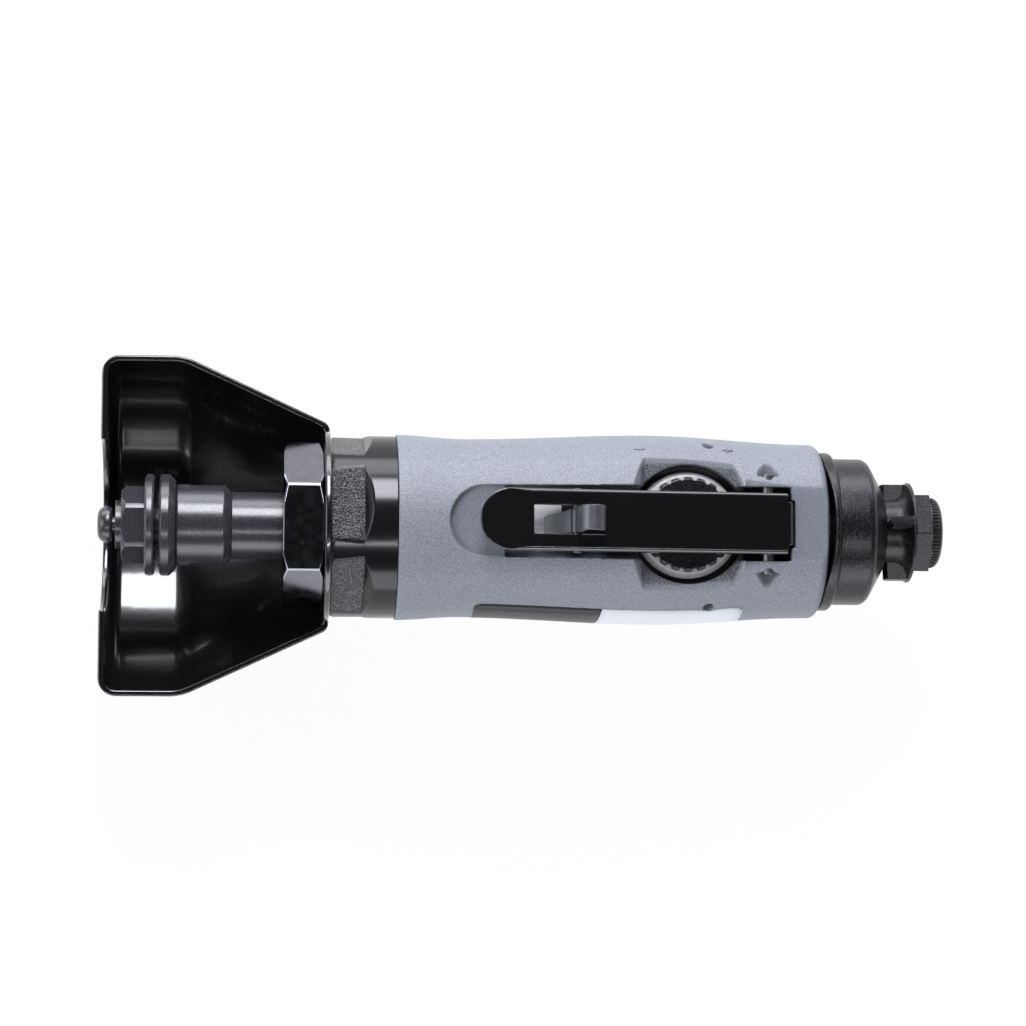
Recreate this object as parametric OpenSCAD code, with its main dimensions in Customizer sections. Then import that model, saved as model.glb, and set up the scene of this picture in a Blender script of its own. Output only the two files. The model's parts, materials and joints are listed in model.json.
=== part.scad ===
// Pneumatic cut off tool: a straight vane-motor tool for small cutting wheels.
// X runs along the spindle towards the air inlet and Z points up through the throttle lever.
// The origin is the wheel seat on the spindle axis, the front face of the inner flange.

/* [Wheel clamp] */
// Diameter of the pilot that centres the wheel
pilot_d = 10; // [9:0.1:12]
// Length of pilot left bare between the two flanges
pilot_l = 1.25; // [1:0.05:2]
// Diameter of the threaded stud in front of the pilot
stud_d = 8; // [6:0.1:8.6]
// Diameter of both flanges
flange_d = 25; // [22:0.5:28]
// Thickness of the outer flange
outer_flange_t = 2.3; // [1.8:0.1:3]
// Thickness of the inner flange, its back chamfer included
inner_flange_t = 3.9; // [3.5:0.1:6]
// Chamfer behind the inner flange
flange_chamfer = 1.6; // [1:0.1:2.5]
// Clamp nut across its flats
nut_af = 17; // [15:0.5:19]
// Thickness of the clamp nut's hexagon
nut_t = 5.7; // [5:0.1:7]
// Diameter of the round collar in front of the hexagon
nut_collar_d = 11.9; // [10.5:0.1:13]
// Length of that collar
nut_collar_l = 1.5; // [1:0.1:2.5]
// Thread diameter of the lock screw
screw_d = 4; // [3:0.1:4.5]
// Diameter of the lock screw's button head
screw_head_d = 8.9; // [8:0.1:10]
// Height of the button head
screw_head_h = 3.5; // [2.5:0.1:4]
// Bare neck between the button head and the nut
screw_neck_l = 0.9; // [0.6:0.1:2]

/* [Arbor and spindle] */
// Diameter of the arbor
arbor_d = 20.2; // [19:0.1:23]
// Length of the arbor behind the inner flange
arbor_l = 13.7; // [12:0.1:18]
// Arbor across its two wrench flats
arbor_flat_af = 19.2; // [17:0.1:19.8]
// Length of the wrench flats
arbor_flat_l = 8; // [6:0.1:10]
// Length of the chamfer behind the arbor
arbor_chamfer = 2; // [1:0.1:3]
// Diameter of the spindle
spindle_d = 16.6; // [14:0.1:18]
// Spindle seen between the arbor and the guard nut
spindle_reach = 12.4; // [10:0.1:16]

/* [Guard] */
// Outer radius of the guard's rim
guard_r = 42.1; // [39:0.1:46]
// Thickness of the guard's sheet
guard_sheet = 1.5; // [1.2:0.1:2]
// Length of the straight rim
guard_band_l = 20.3; // [16:0.1:24]
// Length of the cone behind the rim
guard_cone_l = 35.95; // [30:0.05:40]
// Outer radius of the guard's back plate
guard_back_r = 25.5; // [24:0.1:28]
// Radius of the back plate above the spindle
guard_plate_r = 23.5; // [22:0.1:25]
// Outer radius of the bend at the front wall
guard_bend_r = 4.5; // [3:0.1:6]
// Radius of the round notch in the front wall
guard_notch_r = 21; // [18:0.5:26]
// Guard nut across its flats
guard_nut_af = 36; // [34:0.5:38]
// Thickness of the guard nut
guard_nut_t = 10; // [8:0.1:12]

/* [Nose collar] */
// Diameter of the collar
collar_d = 45; // [43.5:0.1:46]
// Length of the collar
collar_l = 16.1; // [14:0.1:20]
// Collar across its cast flats
collar_af = 41; // [40:0.1:43]
// Length of the cast flats, without their run-out
collar_flat_l = 8; // [6:0.1:11]
// Diameter of the threaded spigot that carries the guard
spigot_d = 24; // [22:0.5:26]
// Length of the threaded boss inside the housing
boss_l = 8; // [8:0.1:9]

/* [Housing] */
// Length of the housing
housing_l = 105; // [104:0.1:112]
// Diameter at the front edge
housing_front_d = 45.8; // [44.5:0.1:47]
// Diameter at the waist
housing_waist_d = 44.1; // [43.5:0.1:45]
// Largest diameter, over the regulator
housing_belly_d = 47; // [45:0.1:48]
// Diameter near the rear edge
housing_tail_d = 43.3; // [43:0.1:45]
// Rounding of the rear edge
housing_tail_r = 2; // [1:0.1:2.5]
// Height of the flat along the rear of the back
spine_z = 19.6; // [19:0.1:20.5]

/* [Lever and latch] */
// Width of the lever
lever_w = 15; // [14:0.1:16]
// Distance from the lever pin to the round tip
lever_l = 71.3; // [70:0.1:75]
// Lever behind its pin
lever_tail_l = 4; // [3.5:0.1:5]
// Thickness of the lever's sheet
lever_sheet = 1.5; // [1.2:0.1:1.6]
// Height of the lever's top when it is pressed
lever_top_z = 22; // [21.8:0.1:23]
// Angle that the released lever stands up
lever_rise = 4.5; // [3:0.1:5]
// Diameter of the lever pin
lever_pin_d = 3; // [2.5:0.1:3.4]
// Height of the lever pin
lever_pin_z = 17.5; // [17:0.1:18]
// Distance from the valve to the lever pin
lever_arm = 19.5; // [19:0.1:21]
// Width of the safety latch
latch_w = 6; // [5:0.1:6.4]
// Distance from the lever pin to the latch pin
latch_arm = 47.6; // [46:0.1:50]
// Diameter of the latch pin
latch_pin_d = 2; // [1.6:0.1:2.1]

/* [Regulator and valve] */
// Distance from the valve to the housing's rear edge
valve_offset = 34.1; // [33:0.1:36]
// Diameter of the regulator knob over its scallops
knob_d = 23.2; // [22:0.1:25]
// Height of the knob's top
knob_top_z = 17.5; // [17.1:0.1:17.7]
// Number of scallops around the knob
knob_scallops = 22; // [12:1:30]
// Radius of the round well around the knob
well_r = 14.6; // [13.8:0.1:15]
// Diameter of the valve bore
valve_bore_d = 12.2; // [11.4:0.1:12.6]
// Diameter of the valve stem
valve_stem_d = 4; // [3:0.1:4.4]
// Wire of the valve spring
valve_wire_d = 0.8; // [0.6:0.05:1]
// Free curls of the valve spring
valve_curls = 6; // [4:1:8]

/* [Motor] */
// Diameter of the motor bore
motor_bore_d = 30.6; // [29.6:0.1:31]
// Diameter of the rotor
rotor_d = 23; // [22:0.1:23.6]
// Wall between the motor and the regulator's well
motor_wall = 2.5; // [1.5:0.1:5]
// Bore of the cylinder liner
liner_bore_d = 25.6; // [25:0.1:26.4]
// Number of vanes
vane_count = 5; // [4:1:6]
// Thickness of a vane
vane_t = 2.2; // [1.6:0.1:2.6]

/* [Rear end] */
// Outer diameter of the exhaust ring
ring_d = 39.5; // [38.5:0.1:40.5]
// Length of the exhaust ring
ring_l = 3.2; // [2.5:0.1:5]
// Diameter of the deflector
deflector_d = 36.5; // [35.5:0.1:37.5]
// Straight length of the deflector
deflector_l = 8.5; // [7:0.1:12]
// Length of the deflector's cone
deflector_cone_l = 4.4; // [4:0.1:7]
// Wall of the deflector
deflector_wall = 2; // [1.5:0.1:2.4]
// Diameter of the inlet bushing's shank
bushing_d = 16; // [15:0.1:17]
// Diameter of the bushing's disc
disc_d = 25; // [23:0.1:27]
// Length of the four webs
web_l = 6.4; // [5:0.1:8]
// Inlet hexagon across its flats
inlet_af = 19; // [18.6:0.1:22]
// Length of the inlet hexagon
inlet_hex_l = 3.9; // [3:0.1:8]
// Bore of the inlet thread, at the crests
inlet_bore_d = 11.44; // [11:0.01:12]
// Length of the inlet thread
inlet_thread_l = 10.5; // [9:0.1:12]
// Diameter of the transport plug's head
plug_d = 17.7; // [16:0.1:18.5]
// Length of the transport plug's head
plug_l = 3.15; // [2.5:0.05:5]
// Number of ridges around the plug's head
plug_ridges = 60; // [24:1:72]

/* [Hidden] */
$fn = 64;

// Clearances and cuts: cuts run past the faces that they open by the overrun
overrun = 1;
running_gap = 0.05;
seat_gap = 0.05;
free_gap = 0.3;
edge_break = 0.5;

// Stations along the spindle, from the lock screw to the transport plug
outer_flange_x = -pilot_l - outer_flange_t;
nut_x = outer_flange_x - nut_t;
nut_collar_x = nut_x - nut_collar_l;
screw_head_x = nut_collar_x - screw_neck_l;
arbor_x = inner_flange_t;
arbor_back_x = arbor_x + arbor_l;
guard_nut_x = arbor_back_x + spindle_reach;
guard_face_x = guard_nut_x + guard_nut_t + seat_gap;
guard_rear_x = guard_face_x + guard_sheet;
guard_band_x = guard_rear_x - guard_cone_l;
guard_front_x = guard_band_x - guard_band_l;
collar_x = guard_rear_x + seat_gap;
housing_x = collar_x + collar_l;
tail_x = housing_x + housing_l;

// Wheel clamp details
nut_chamfer = 1;
nut_corner_share = 0.965;
nut_turn = 5.5;
flange_relief_d = 17;
flange_relief = 0.4;
screw_depth = 9;
screw_edge_r = 2.2;
socket_af = 2.5;
socket_depth = 1.6;

// Arbor and spindle details
flat_place_share = 0.6;
arbor_flat_x = arbor_x + (arbor_l - arbor_flat_l) * flat_place_share;
flange_seat_d = 12;
nose_d = 10;
nose_l = 9;
bearing_seat_d = 12;
rear_seat_d = 8;
key_w = 3;
key_h = 3;

// Nose collar details
collar_chamfer = 0.6;
collar_turn = -10.4;
flat_run_share = 1.1;
collar_boss_d = 38;
spigot_inset = 1.5;
spindle_bore_d = spindle_d + 2 * free_gap;
seal_inset = 3;
seal_x = collar_x + seal_inset;
seal_l = 3;
seal_d = 22;

// Ball bearings: bore, outside diameter and width, the ball and its circle
front_race_d = 28;
front_race_w = 8;
front_ball_d = 4.76;
front_ball_count = 8;
rear_race_d = 22;
rear_race_w = 7;
rear_ball_d = 3.97;
rear_ball_count = 7;
inner_land_share = 0.42;
outer_land_share = 0.59;
race_side_gap = 0.15;
front_race_x = housing_x + boss_l - front_race_w;
front_pitch_r = (bearing_seat_d + front_race_d) / 4;
rear_pitch_r = (rear_seat_d + rear_race_d) / 4;

// Motor details
plate_t = 4;
hub_l = 7.8;
boss_x = housing_x + boss_l;
liner_x = boss_x + plate_t;
valve_x = tail_x - valve_offset;
liner_l = valve_x - well_r - motor_wall - hub_l - plate_t - liner_x;
rear_plate_x = liner_x + liner_l;
hub_x = rear_plate_x + plate_t;
motor_end_x = hub_x + hub_l;
rear_race_x = motor_end_x - rear_race_w - seat_gap;
hub_wall = 1.2;
hub_d = rear_race_d + 2 * hub_wall;
liner_d = motor_bore_d - 2 * seat_gap;
rotor_gap = 0.2;
liner_shift = (liner_bore_d - rotor_d) / 2 - rotor_gap;
rotor_x = liner_x + rotor_gap;
rotor_l = liner_l - 2 * rotor_gap;
key_share = 0.4;
key_l = rotor_l * key_share;
vane_h = 4.2;
vane_slot_depth = vane_h + free_gap;
port_d = 3;
port_count = 4;
dowel_d = 2;
dowel_z = (liner_d + liner_bore_d) / 4 - liner_shift / 2;
dowel_reach = 3;
circlip_t = 0.9;
circlip_d = 11;
circlip_groove_d = 6.8;
circlip_x = rear_race_x + rear_race_w - race_side_gap + seat_gap;
spindle_end_l = 0.8;
spindle_end_x = circlip_x + circlip_t + seat_gap + spindle_end_l;

// Housing details
pocket_floor_z = 17;
pocket_front_z = 19.7;
pocket_step_gap = 1.2;
pocket_w = 17.5;
pocket_front_gap = 6.8;
pocket_rear_gap = 1.5;
flap_notch_l = 0.9;
flap_notch_gap = 0.6;
pocket_rear_w = 18.2;
pocket_rear_z = 13.4;
pocket_rear_l = 5.8;
waist_share = 0.155;
belly_share = 0.6;
outline_steps = 10;
exhaust_d = 4.4;
exhaust_r = 15.6;
exhaust_angle = 45;
exhaust_start = 5;
air_d = 7;
air_z = -7;
port_bore_d = 4;
port_z = 6;
port_y = 9;
port_side_z = 9.5;
pin_mouth_d = 6;
pin_mouth_y = 11.7;
pin_mouth_lift = 2;
pin_end_l = 0.5;

// Regulator and valve details
pivot_x = valve_x + lever_arm;
facet_l = 22;
facet_slope = 0.65;
well_z = 13.2;
washer_t = 2;
washer_gap = 1.5;
washer_r = well_r - washer_gap;
washer_slope = 1;
washer_rim_t = 0.6;
knob_under_z = well_z + washer_t + seat_gap;
knob_edge = 0.6;
scallop_d = 1.5;
shank_d = valve_bore_d - 2 * running_gap;
shank_z = 4.3;
retaining_pin_d = 2.5;
retaining_pin_z = 11.2;
retaining_bite = 1.7;
retaining_pin_x = valve_x + shank_d / 2 + retaining_pin_d / 2 - retaining_bite;
retaining_inset = 4;
retaining_pin_l = housing_belly_d - 2 * retaining_inset;
retaining_gap = 0.15;
knob_bore_d = valve_stem_d + 2 * retaining_gap;
bush_top_z = 4;
bush_z = 1;
bush_slit = 1;
bush_bore_d = valve_stem_d + 2 * bush_slit;
valve_head_d = 8.4;
valve_head_t = 1.6;
valve_seal_t = 0.9;
valve_bore_z = -15;
valve_travel = lever_arm * sin(lever_rise);
stem_top_z = lever_top_z - lever_sheet + valve_travel - free_gap;
valve_head_z = bush_z - valve_seal_t - valve_head_t;
spring_mean_d = 7;
curl_rings = 8;
wire_sides = 6;

// Lever details, for the lever lying flat as when it is pressed
lever_bend_r = 1.1;
flange_front_z = 17.3;
flange_mid_z = 18.4;
flange_rear_z = 14.6;
flange_start = 63.4;
lever_flap_w = 10.5;
lever_flap_l = 1.5;
knob_clear = 2.5;
flange_mid_start = lever_arm + knob_d / 2 + knob_clear;
flange_mid_end = lever_arm - knob_d / 2 - knob_clear;
slot_front = 58.7;
slot_rear = 41.4;
slot_w = 6.9;
latch_pin_z = 18.9;
latch_sheet = 1.5;
latch_hub_d = 3.2;
latch_foot_x = 6.6;
latch_foot_z = 5.1;
latch_foot_cut = 2.2;
latch_curl_r = 3;
latch_curl_z = 8;
latch_spring_wire = 0.35;
latch_spring_curls = 3;
latch_spring_pitch = 0.9;
latch_spring_gap = 0.15;
stop_plate_l = 8.5;
stop_plate_w = 9;
stop_plate_t = 0.6;

// Rear end details
gasket_t = 0.4;
gasket_inset = 0.4;
ring_wall = 2.5;
ring_edge_r = 1.2;
ring_vent_l = 1.6;
ring_vent_w = 30;
ring_vent_r = (ring_vent_w ^ 2 / 4 + ring_vent_l ^ 2) / (2 * ring_vent_l);
ring_x = tail_x + gasket_t;
deflector_x = ring_x + ring_l;
cone_x = deflector_x + deflector_l;
lip_x = cone_x + deflector_cone_l;
exhaust_slit = 1.6;
lip_r = bushing_d / 2 + exhaust_slit;
lip_w = 0.8;
deflector_edge_r = 2.5;
disc_x = lip_x + web_l;
disc_t = 1.2;
inlet_hex_x = disc_x + disc_t;
mouth_x = inlet_hex_x + inlet_hex_l;
bushing_shank_l = 13.7;
bushing_front_x = tail_x - bushing_shank_l;
flare_r = 3.3;
web_t = 2.3;
web_end_gap = 0.5;
web_inset = 0.3;
web_r = disc_d / 2 - web_inset;
web_turn = -9.2;
plug_seat_d = 14;
plug_seat_l = 2.5;
strainer_seat_d = 10.4;
strainer_seat_l = 2;
inlet_air_d = 9;
thread_x = mouth_x - plug_seat_l - inlet_thread_l;
strainer_x = thread_x - strainer_seat_l;
strainer_l = 10;
strainer_wall = 0.6;
strainer_rows = 4;
strainer_holes = 6;
strainer_hole_d = 1.6;
silencer_l = 4;
silencer_gap = 1;
plug_edge_r = 2;
plug_ridge_d = 0.7;

// A share of the way between two values that starts and ends level
function ease(share) = (1 - cos(180 * share)) / 2;
function eased(a, b, share) = a + (b - a) * ease(share);

// Points of an arc, as [radius, station] pairs
function arc(centre, r, from, to, steps) =
    [for (i = [0 : steps]) let (a = from + (to - from) * i / steps) centre + r * [cos(a), sin(a)]];

// Solids turned about the spindle axis from [radius, station] points
module turned() {
    rotate([0, 90, 0]) rotate_extrude() children();
}

module sleeve(x, l, outer_d, bore_d) {
    turned() translate([bore_d / 2, x]) square([(outer_d - bore_d) / 2, l]);
}

module along_x(x, l, d) {
    translate([x, 0, 0]) rotate([0, 90, 0]) cylinder(h = l, d = d);
}

module along_y(x, z, l, d) {
    translate([x, l / 2, z]) rotate([90, 0, 0]) cylinder(h = l, d = d);
}

module along_z(x, z, h, d) {
    translate([x, 0, z]) cylinder(h = h, d = d);
}

// Hexagon along X with one face upwards, turned about the spindle
module hexagon(x, l, af, turn) {
    translate([x, 0, 0]) rotate([turn, 0, 0]) rotate([0, 90, 0]) rotate([0, 0, 30])
        cylinder(h = l, d = af / cos(30), $fn = 6);
}

// A round hole between two points
module drilled(from, to, d) {
    way = to - from;
    reach = norm(way);
    translate(from) rotate([0, acos(way[2] / reach), atan2(way[1], way[0])]) cylinder(h = reach, d = d);
}

// The lever's own parts, set from flat to the angle of the released lever
module released() {
    translate([pivot_x, 0, lever_pin_z]) rotate([0, lever_rise, 0])
        translate([-pivot_x, 0, -lever_pin_z]) children();
}

// An outline in the XZ plane, pulled out evenly to both sides of the XZ plane
module pulled_y(w) {
    translate([0, w / 2, 0]) rotate([90, 0, 0]) linear_extrude(height = w) children();
}

// Centre line of a coil that rises along Z, and the wire swept along it
function coil_line(mean_d, wire_d, curls, h) =
    [for (i = [0 : curls * curl_rings])
        let (share = i / (curls * curl_rings), a = 360 * i / curl_rings)
        [mean_d / 2 * cos(a), mean_d / 2 * sin(a), wire_d / 2 + (h - wire_d) * share]];

function coil_gap(line, wire_d) =
    min([for (i = [0 : len(line) - 1]) for (j = [i + curl_rings / 2 + 1 : len(line) - 1])
        norm(line[i] - line[j])]) - wire_d;

module coil(mean_d, wire_d, curls, h) {
    line = coil_line(mean_d, wire_d, curls, h);
    sides = wire_sides;
    rings = len(line);
    points = [for (i = [0 : rings - 1]) for (k = [0 : sides - 1])
        let (a = 360 * i / curl_rings, b = 360 * k / sides)
        line[i] + wire_d / 2 * [cos(b) * cos(a), cos(b) * sin(a), sin(b)]];
    walls = [for (i = [0 : rings - 2]) for (k = [0 : sides - 1]) for (half = [0, 1])
        let (p = i * sides + k, q = i * sides + (k + 1) % sides)
        half == 0 ? [p, p + sides, q] : [q, p + sides, q + sides]];
    first = [for (k = [1 : sides - 2]) [0, k, k + 1]];
    last = [for (k = [1 : sides - 2]) [(rings - 1) * sides, (rings - 1) * sides + k + 1,
        (rings - 1) * sides + k]];
    echo("least gap between the curls", coil_gap(line, wire_d));
    polyhedron(points = points, faces = concat(walls, first, last));
}

// Wheel clamp
module lock_screw() {
    r = screw_head_d / 2;
    front_x = screw_head_x - screw_head_h;
    color("black") difference() {
        union() {
            along_x(screw_head_x, screw_neck_l + screw_depth, screw_d);
            turned() polygon(concat([[0, front_x]],
                arc([r - screw_edge_r, front_x + screw_edge_r], screw_edge_r, -90, 0, 6),
                [[r, screw_head_x - edge_break], [r - edge_break, screw_head_x], [0, screw_head_x]]));
        }
        hexagon(screw_head_x - screw_head_h - overrun, socket_depth + overrun, socket_af, 0);
    }
}

module clamp_nut() {
    corner_r = nut_af / cos(30) / 2 * nut_corner_share;
    color("dimgray") difference() {
        union() {
            intersection() {
                hexagon(nut_x, nut_t, nut_af, nut_turn);
                turned() polygon([[0, nut_x], [corner_r - nut_chamfer, nut_x],
                    [corner_r, nut_x + nut_chamfer], [corner_r, nut_x + nut_t], [0, nut_x + nut_t]]);
            }
            along_x(nut_collar_x, nut_collar_l + nut_t, nut_collar_d);
        }
        along_x(nut_collar_x - overrun, nut_collar_l + nut_t + 2 * overrun, stud_d + 2 * running_gap);
    }
}

module outer_flange() {
    r = flange_d / 2;
    color("dimgray") turned() polygon([
        [stud_d / 2 + running_gap, outer_flange_x],
        [r - edge_break, outer_flange_x],
        [r, outer_flange_x + edge_break],
        [r, -pilot_l - edge_break],
        [r - edge_break, -pilot_l],
        [flange_relief_d / 2, -pilot_l],
        [flange_relief_d / 2, -pilot_l - flange_relief],
        [pilot_d / 2 + flange_relief, -pilot_l - flange_relief],
        [pilot_d / 2 + flange_relief, -pilot_l],
        [stud_d / 2 + running_gap, -pilot_l]]);
}

module inner_flange() {
    r = flange_d / 2;
    color("dimgray") turned() polygon([
        [flange_seat_d / 2 + seat_gap, 0],
        [r - edge_break, 0],
        [r, edge_break],
        [r, inner_flange_t - flange_chamfer],
        [r - flange_chamfer, inner_flange_t],
        [flange_seat_d / 2 + seat_gap, inner_flange_t]]);
}

// Arbor: body with two wrench flats, wheel pilot, and the stud with the lock screw's hole
module arbor() {
    stud_l = nut_t + outer_flange_t + nut_collar_l;
    color("dimgray") difference() {
        union() {
            turned() polygon([
                [0, arbor_x], [arbor_d / 2 - edge_break, arbor_x], [arbor_d / 2, arbor_x + edge_break],
                [arbor_d / 2, arbor_back_x - arbor_chamfer], [spindle_d / 2, arbor_back_x],
                [0, arbor_back_x]]);
            along_x(0, arbor_x + edge_break, flange_seat_d);
            along_x(-pilot_l, pilot_l, pilot_d);
            along_x(-pilot_l - stud_l + edge_break, stud_l, stud_d);
        }
        for (side = [0, 180]) rotate([side, 0, 0])
            translate([arbor_flat_x, arbor_flat_af / 2, -arbor_d / 2])
            cube([arbor_flat_l, arbor_d, arbor_d]);
        along_x(nut_collar_x - overrun, screw_depth + screw_neck_l + overrun, screw_d + 2 * running_gap);
        along_x(arbor_back_x - nose_l, nose_l + overrun, nose_d + 2 * seat_gap);
    }
}

module spindle() {
    step_x = front_race_x + race_side_gap;
    rear_x = rear_race_x + race_side_gap;
    groove_end_x = circlip_x + circlip_t + seat_gap;
    color("silver") difference() {
        turned() polygon([
            [0, arbor_back_x - nose_l + edge_break], [nose_d / 2, arbor_back_x - nose_l + edge_break],
            [nose_d / 2, arbor_back_x], [spindle_d / 2, arbor_back_x],
            [spindle_d / 2, step_x], [bearing_seat_d / 2, step_x],
            [bearing_seat_d / 2, rear_x], [rear_seat_d / 2, rear_x],
            [rear_seat_d / 2, circlip_x - seat_gap], [circlip_groove_d / 2, circlip_x - seat_gap],
            [circlip_groove_d / 2, groove_end_x], [rear_seat_d / 2, groove_end_x],
            [rear_seat_d / 2, spindle_end_x], [0, spindle_end_x]]);
        rotate([180 / vane_count, 0, 0])
            translate([rotor_x + (rotor_l - key_l) / 2, -key_w / 2, bearing_seat_d / 2 - key_h / 2])
            cube([key_l, key_w, key_h]);
    }
}

// Guard: half shell with a front wall and a full back plate, open towards +Z
module guard() {
    lean = atan((guard_r - guard_back_r) / guard_cone_l);
    bend = [guard_r - guard_bend_r, guard_front_x + guard_bend_r];
    inner_bend_r = guard_bend_r - guard_sheet;
    outer = arc(bend, guard_bend_r, -90, 0, 6);
    inner = arc(bend, inner_bend_r, 0, -90, 6);
    color("black") difference() {
        union() {
            rotate([0, 90, 0]) rotate([0, 0, -90]) rotate_extrude(angle = 180) polygon(concat(
                [[guard_notch_r, guard_front_x]], outer,
                [[guard_r, guard_band_x], [guard_back_r, guard_rear_x],
                [spigot_d / 2, guard_rear_x], [spigot_d / 2, guard_face_x],
                [guard_back_r + guard_sheet * tan(lean) - guard_sheet / cos(lean), guard_face_x],
                [guard_r - guard_sheet, guard_band_x - guard_sheet * tan(lean / 2)]],
                inner, [[guard_notch_r, guard_front_x + guard_sheet]]));
            along_x(guard_face_x, guard_sheet, 2 * guard_plate_r);
        }
        along_x(guard_face_x - overrun, guard_sheet + 2 * overrun, spigot_d + 2 * running_gap);
    }
}

module guard_nut() {
    corner_r = guard_nut_af / cos(30) / 2;
    end_x = guard_nut_x + guard_nut_t;
    color("black") difference() {
        intersection() {
            hexagon(guard_nut_x, guard_nut_t, guard_nut_af, nut_turn);
            turned() polygon([[0, guard_nut_x], [corner_r - nut_chamfer * 2, guard_nut_x],
                [corner_r, guard_nut_x + nut_chamfer], [corner_r, end_x - nut_chamfer],
                [corner_r - nut_chamfer * 2, end_x], [0, end_x]]);
        }
        along_x(guard_nut_x - overrun, guard_nut_t + 2 * overrun, spigot_d + 2 * seat_gap);
    }
}

// Nose collar: threaded spigot, body with six milled flats, threaded boss with the bearing seat
module nose_collar() {
    bore_r = spindle_bore_d / 2;
    r = collar_d / 2;
    color("black") difference() {
        turned() polygon([
            [bore_r, guard_nut_x + spigot_inset],
            [spigot_d / 2 - edge_break, guard_nut_x + spigot_inset],
            [spigot_d / 2, guard_nut_x + spigot_inset + edge_break],
            [spigot_d / 2, collar_x],
            [r - collar_chamfer, collar_x],
            [r, collar_x + collar_chamfer],
            [r, housing_x],
            [collar_boss_d / 2, housing_x],
            [collar_boss_d / 2, boss_x],
            [front_race_d / 2 + seat_gap, boss_x],
            [front_race_d / 2 + seat_gap, front_race_x],
            [bore_r, front_race_x],
            [bore_r, seal_x + seal_l],
            [seal_d / 2 + seat_gap, seal_x + seal_l],
            [seal_d / 2 + seat_gap, seal_x],
            [bore_r, seal_x]]);
        for (i = [0 : 5]) rotate([collar_turn + 60 * i, 0, 0])
            translate([collar_x, 0, collar_af / 2]) pulled_y(collar_d) collar_flat_outline();
    }
}

// Side view of one cast flat, open at the front, that runs out at the back
module collar_flat_outline() {
    polygon([[-overrun, 0], [collar_flat_l, 0],
        [collar_flat_l + collar_d * flat_run_share, collar_d], [-overrun, collar_d]]);
}

module spindle_seal() {
    color("beige") sleeve(seal_x, seal_l, seal_d, spindle_d + 2 * running_gap);
}

// Ball bearing parts from the bore, the outside diameter and the width
module race(x, w, outer_r, inner_r, pitch_r, ball_d) {
    turned() difference() {
        translate([inner_r, x]) square([outer_r - inner_r, w]);
        translate([pitch_r, x + w / 2]) circle(d = ball_d + 2 * running_gap);
    }
}

module balls(x, w, pitch_r, ball_d, count) {
    for (i = [0 : count - 1]) rotate([360 * i / count, 0, 0])
        translate([x + w / 2, 0, pitch_r]) sphere(d = ball_d);
}

module front_bearing_outer_race() {
    color("silver") race(front_race_x, front_race_w, front_race_d / 2,
        front_pitch_r + front_ball_d / 2 * outer_land_share, front_pitch_r, front_ball_d);
}

module front_bearing_inner_race() {
    color("silver") race(front_race_x + race_side_gap, front_race_w - 2 * race_side_gap,
        front_pitch_r - front_ball_d / 2 * inner_land_share, bearing_seat_d / 2 + seat_gap,
        front_pitch_r, front_ball_d);
}

module front_bearing_balls() {
    color("silver") balls(front_race_x, front_race_w, front_pitch_r, front_ball_d, front_ball_count);
}

module rear_bearing_outer_race() {
    color("silver") race(rear_race_x, rear_race_w, rear_race_d / 2,
        rear_pitch_r + rear_ball_d / 2 * outer_land_share, rear_pitch_r, rear_ball_d);
}

module rear_bearing_inner_race() {
    color("silver") race(rear_race_x + race_side_gap, rear_race_w - 2 * race_side_gap,
        rear_pitch_r - rear_ball_d / 2 * inner_land_share, rear_seat_d / 2 + seat_gap,
        rear_pitch_r, rear_ball_d);
}

module rear_bearing_balls() {
    color("silver") balls(rear_race_x, rear_race_w, rear_pitch_r, rear_ball_d, rear_ball_count);
}

// Motor
module dowel_hole(x, l) {
    translate([x, 0, dowel_z]) rotate([0, 90, 0]) cylinder(h = l, d = dowel_d + 2 * seat_gap);
}

module front_end_plate() {
    color("silver") difference() {
        sleeve(boss_x, plate_t, liner_d, bearing_seat_d + 2 * free_gap);
        dowel_hole(liner_x - dowel_reach, dowel_reach + overrun);
    }
}

module cylinder_liner() {
    color("silver") difference() {
        along_x(liner_x, liner_l, liner_d);
        translate([0, 0, -liner_shift]) along_x(liner_x - overrun, liner_l + 2 * overrun, liner_bore_d);
        for (i = [1 : port_count]) translate([liner_x + liner_l * i / (port_count + 1), 0, -liner_d])
            cylinder(h = liner_d, d = port_d);
        dowel_hole(liner_x - overrun, liner_l + 2 * overrun);
    }
}

module rotor() {
    color("dimgray") difference() {
        sleeve(rotor_x, rotor_l, rotor_d, bearing_seat_d + 2 * seat_gap);
        for (i = [0 : vane_count - 1]) rotate([360 * i / vane_count, 0, 0])
            translate([rotor_x - overrun, -vane_t / 2 - running_gap, rotor_d / 2 - vane_slot_depth])
            cube([rotor_l + 2 * overrun, vane_t + 2 * running_gap, rotor_d]);
        rotate([180 / vane_count, 0, 0])
            translate([rotor_x + (rotor_l - key_l) / 2 - seat_gap, -key_w / 2 - seat_gap, 0])
            cube([key_l + 2 * seat_gap, key_w + 2 * seat_gap, bearing_seat_d / 2 + key_h / 2 + seat_gap]);
    }
}

module rotor_key() {
    color("silver") rotate([180 / vane_count, 0, 0])
        translate([rotor_x + (rotor_l - key_l) / 2, -key_w / 2, bearing_seat_d / 2 - key_h / 2])
        cube([key_l, key_w, key_h]);
}

module rotor_vanes() {
    color("saddlebrown") for (i = [0 : vane_count - 1]) rotate([360 * i / vane_count, 0, 0])
        translate([rotor_x, -vane_t / 2, rotor_d / 2 - seat_gap - vane_h]) cube([rotor_l, vane_t, vane_h]);
}

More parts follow.
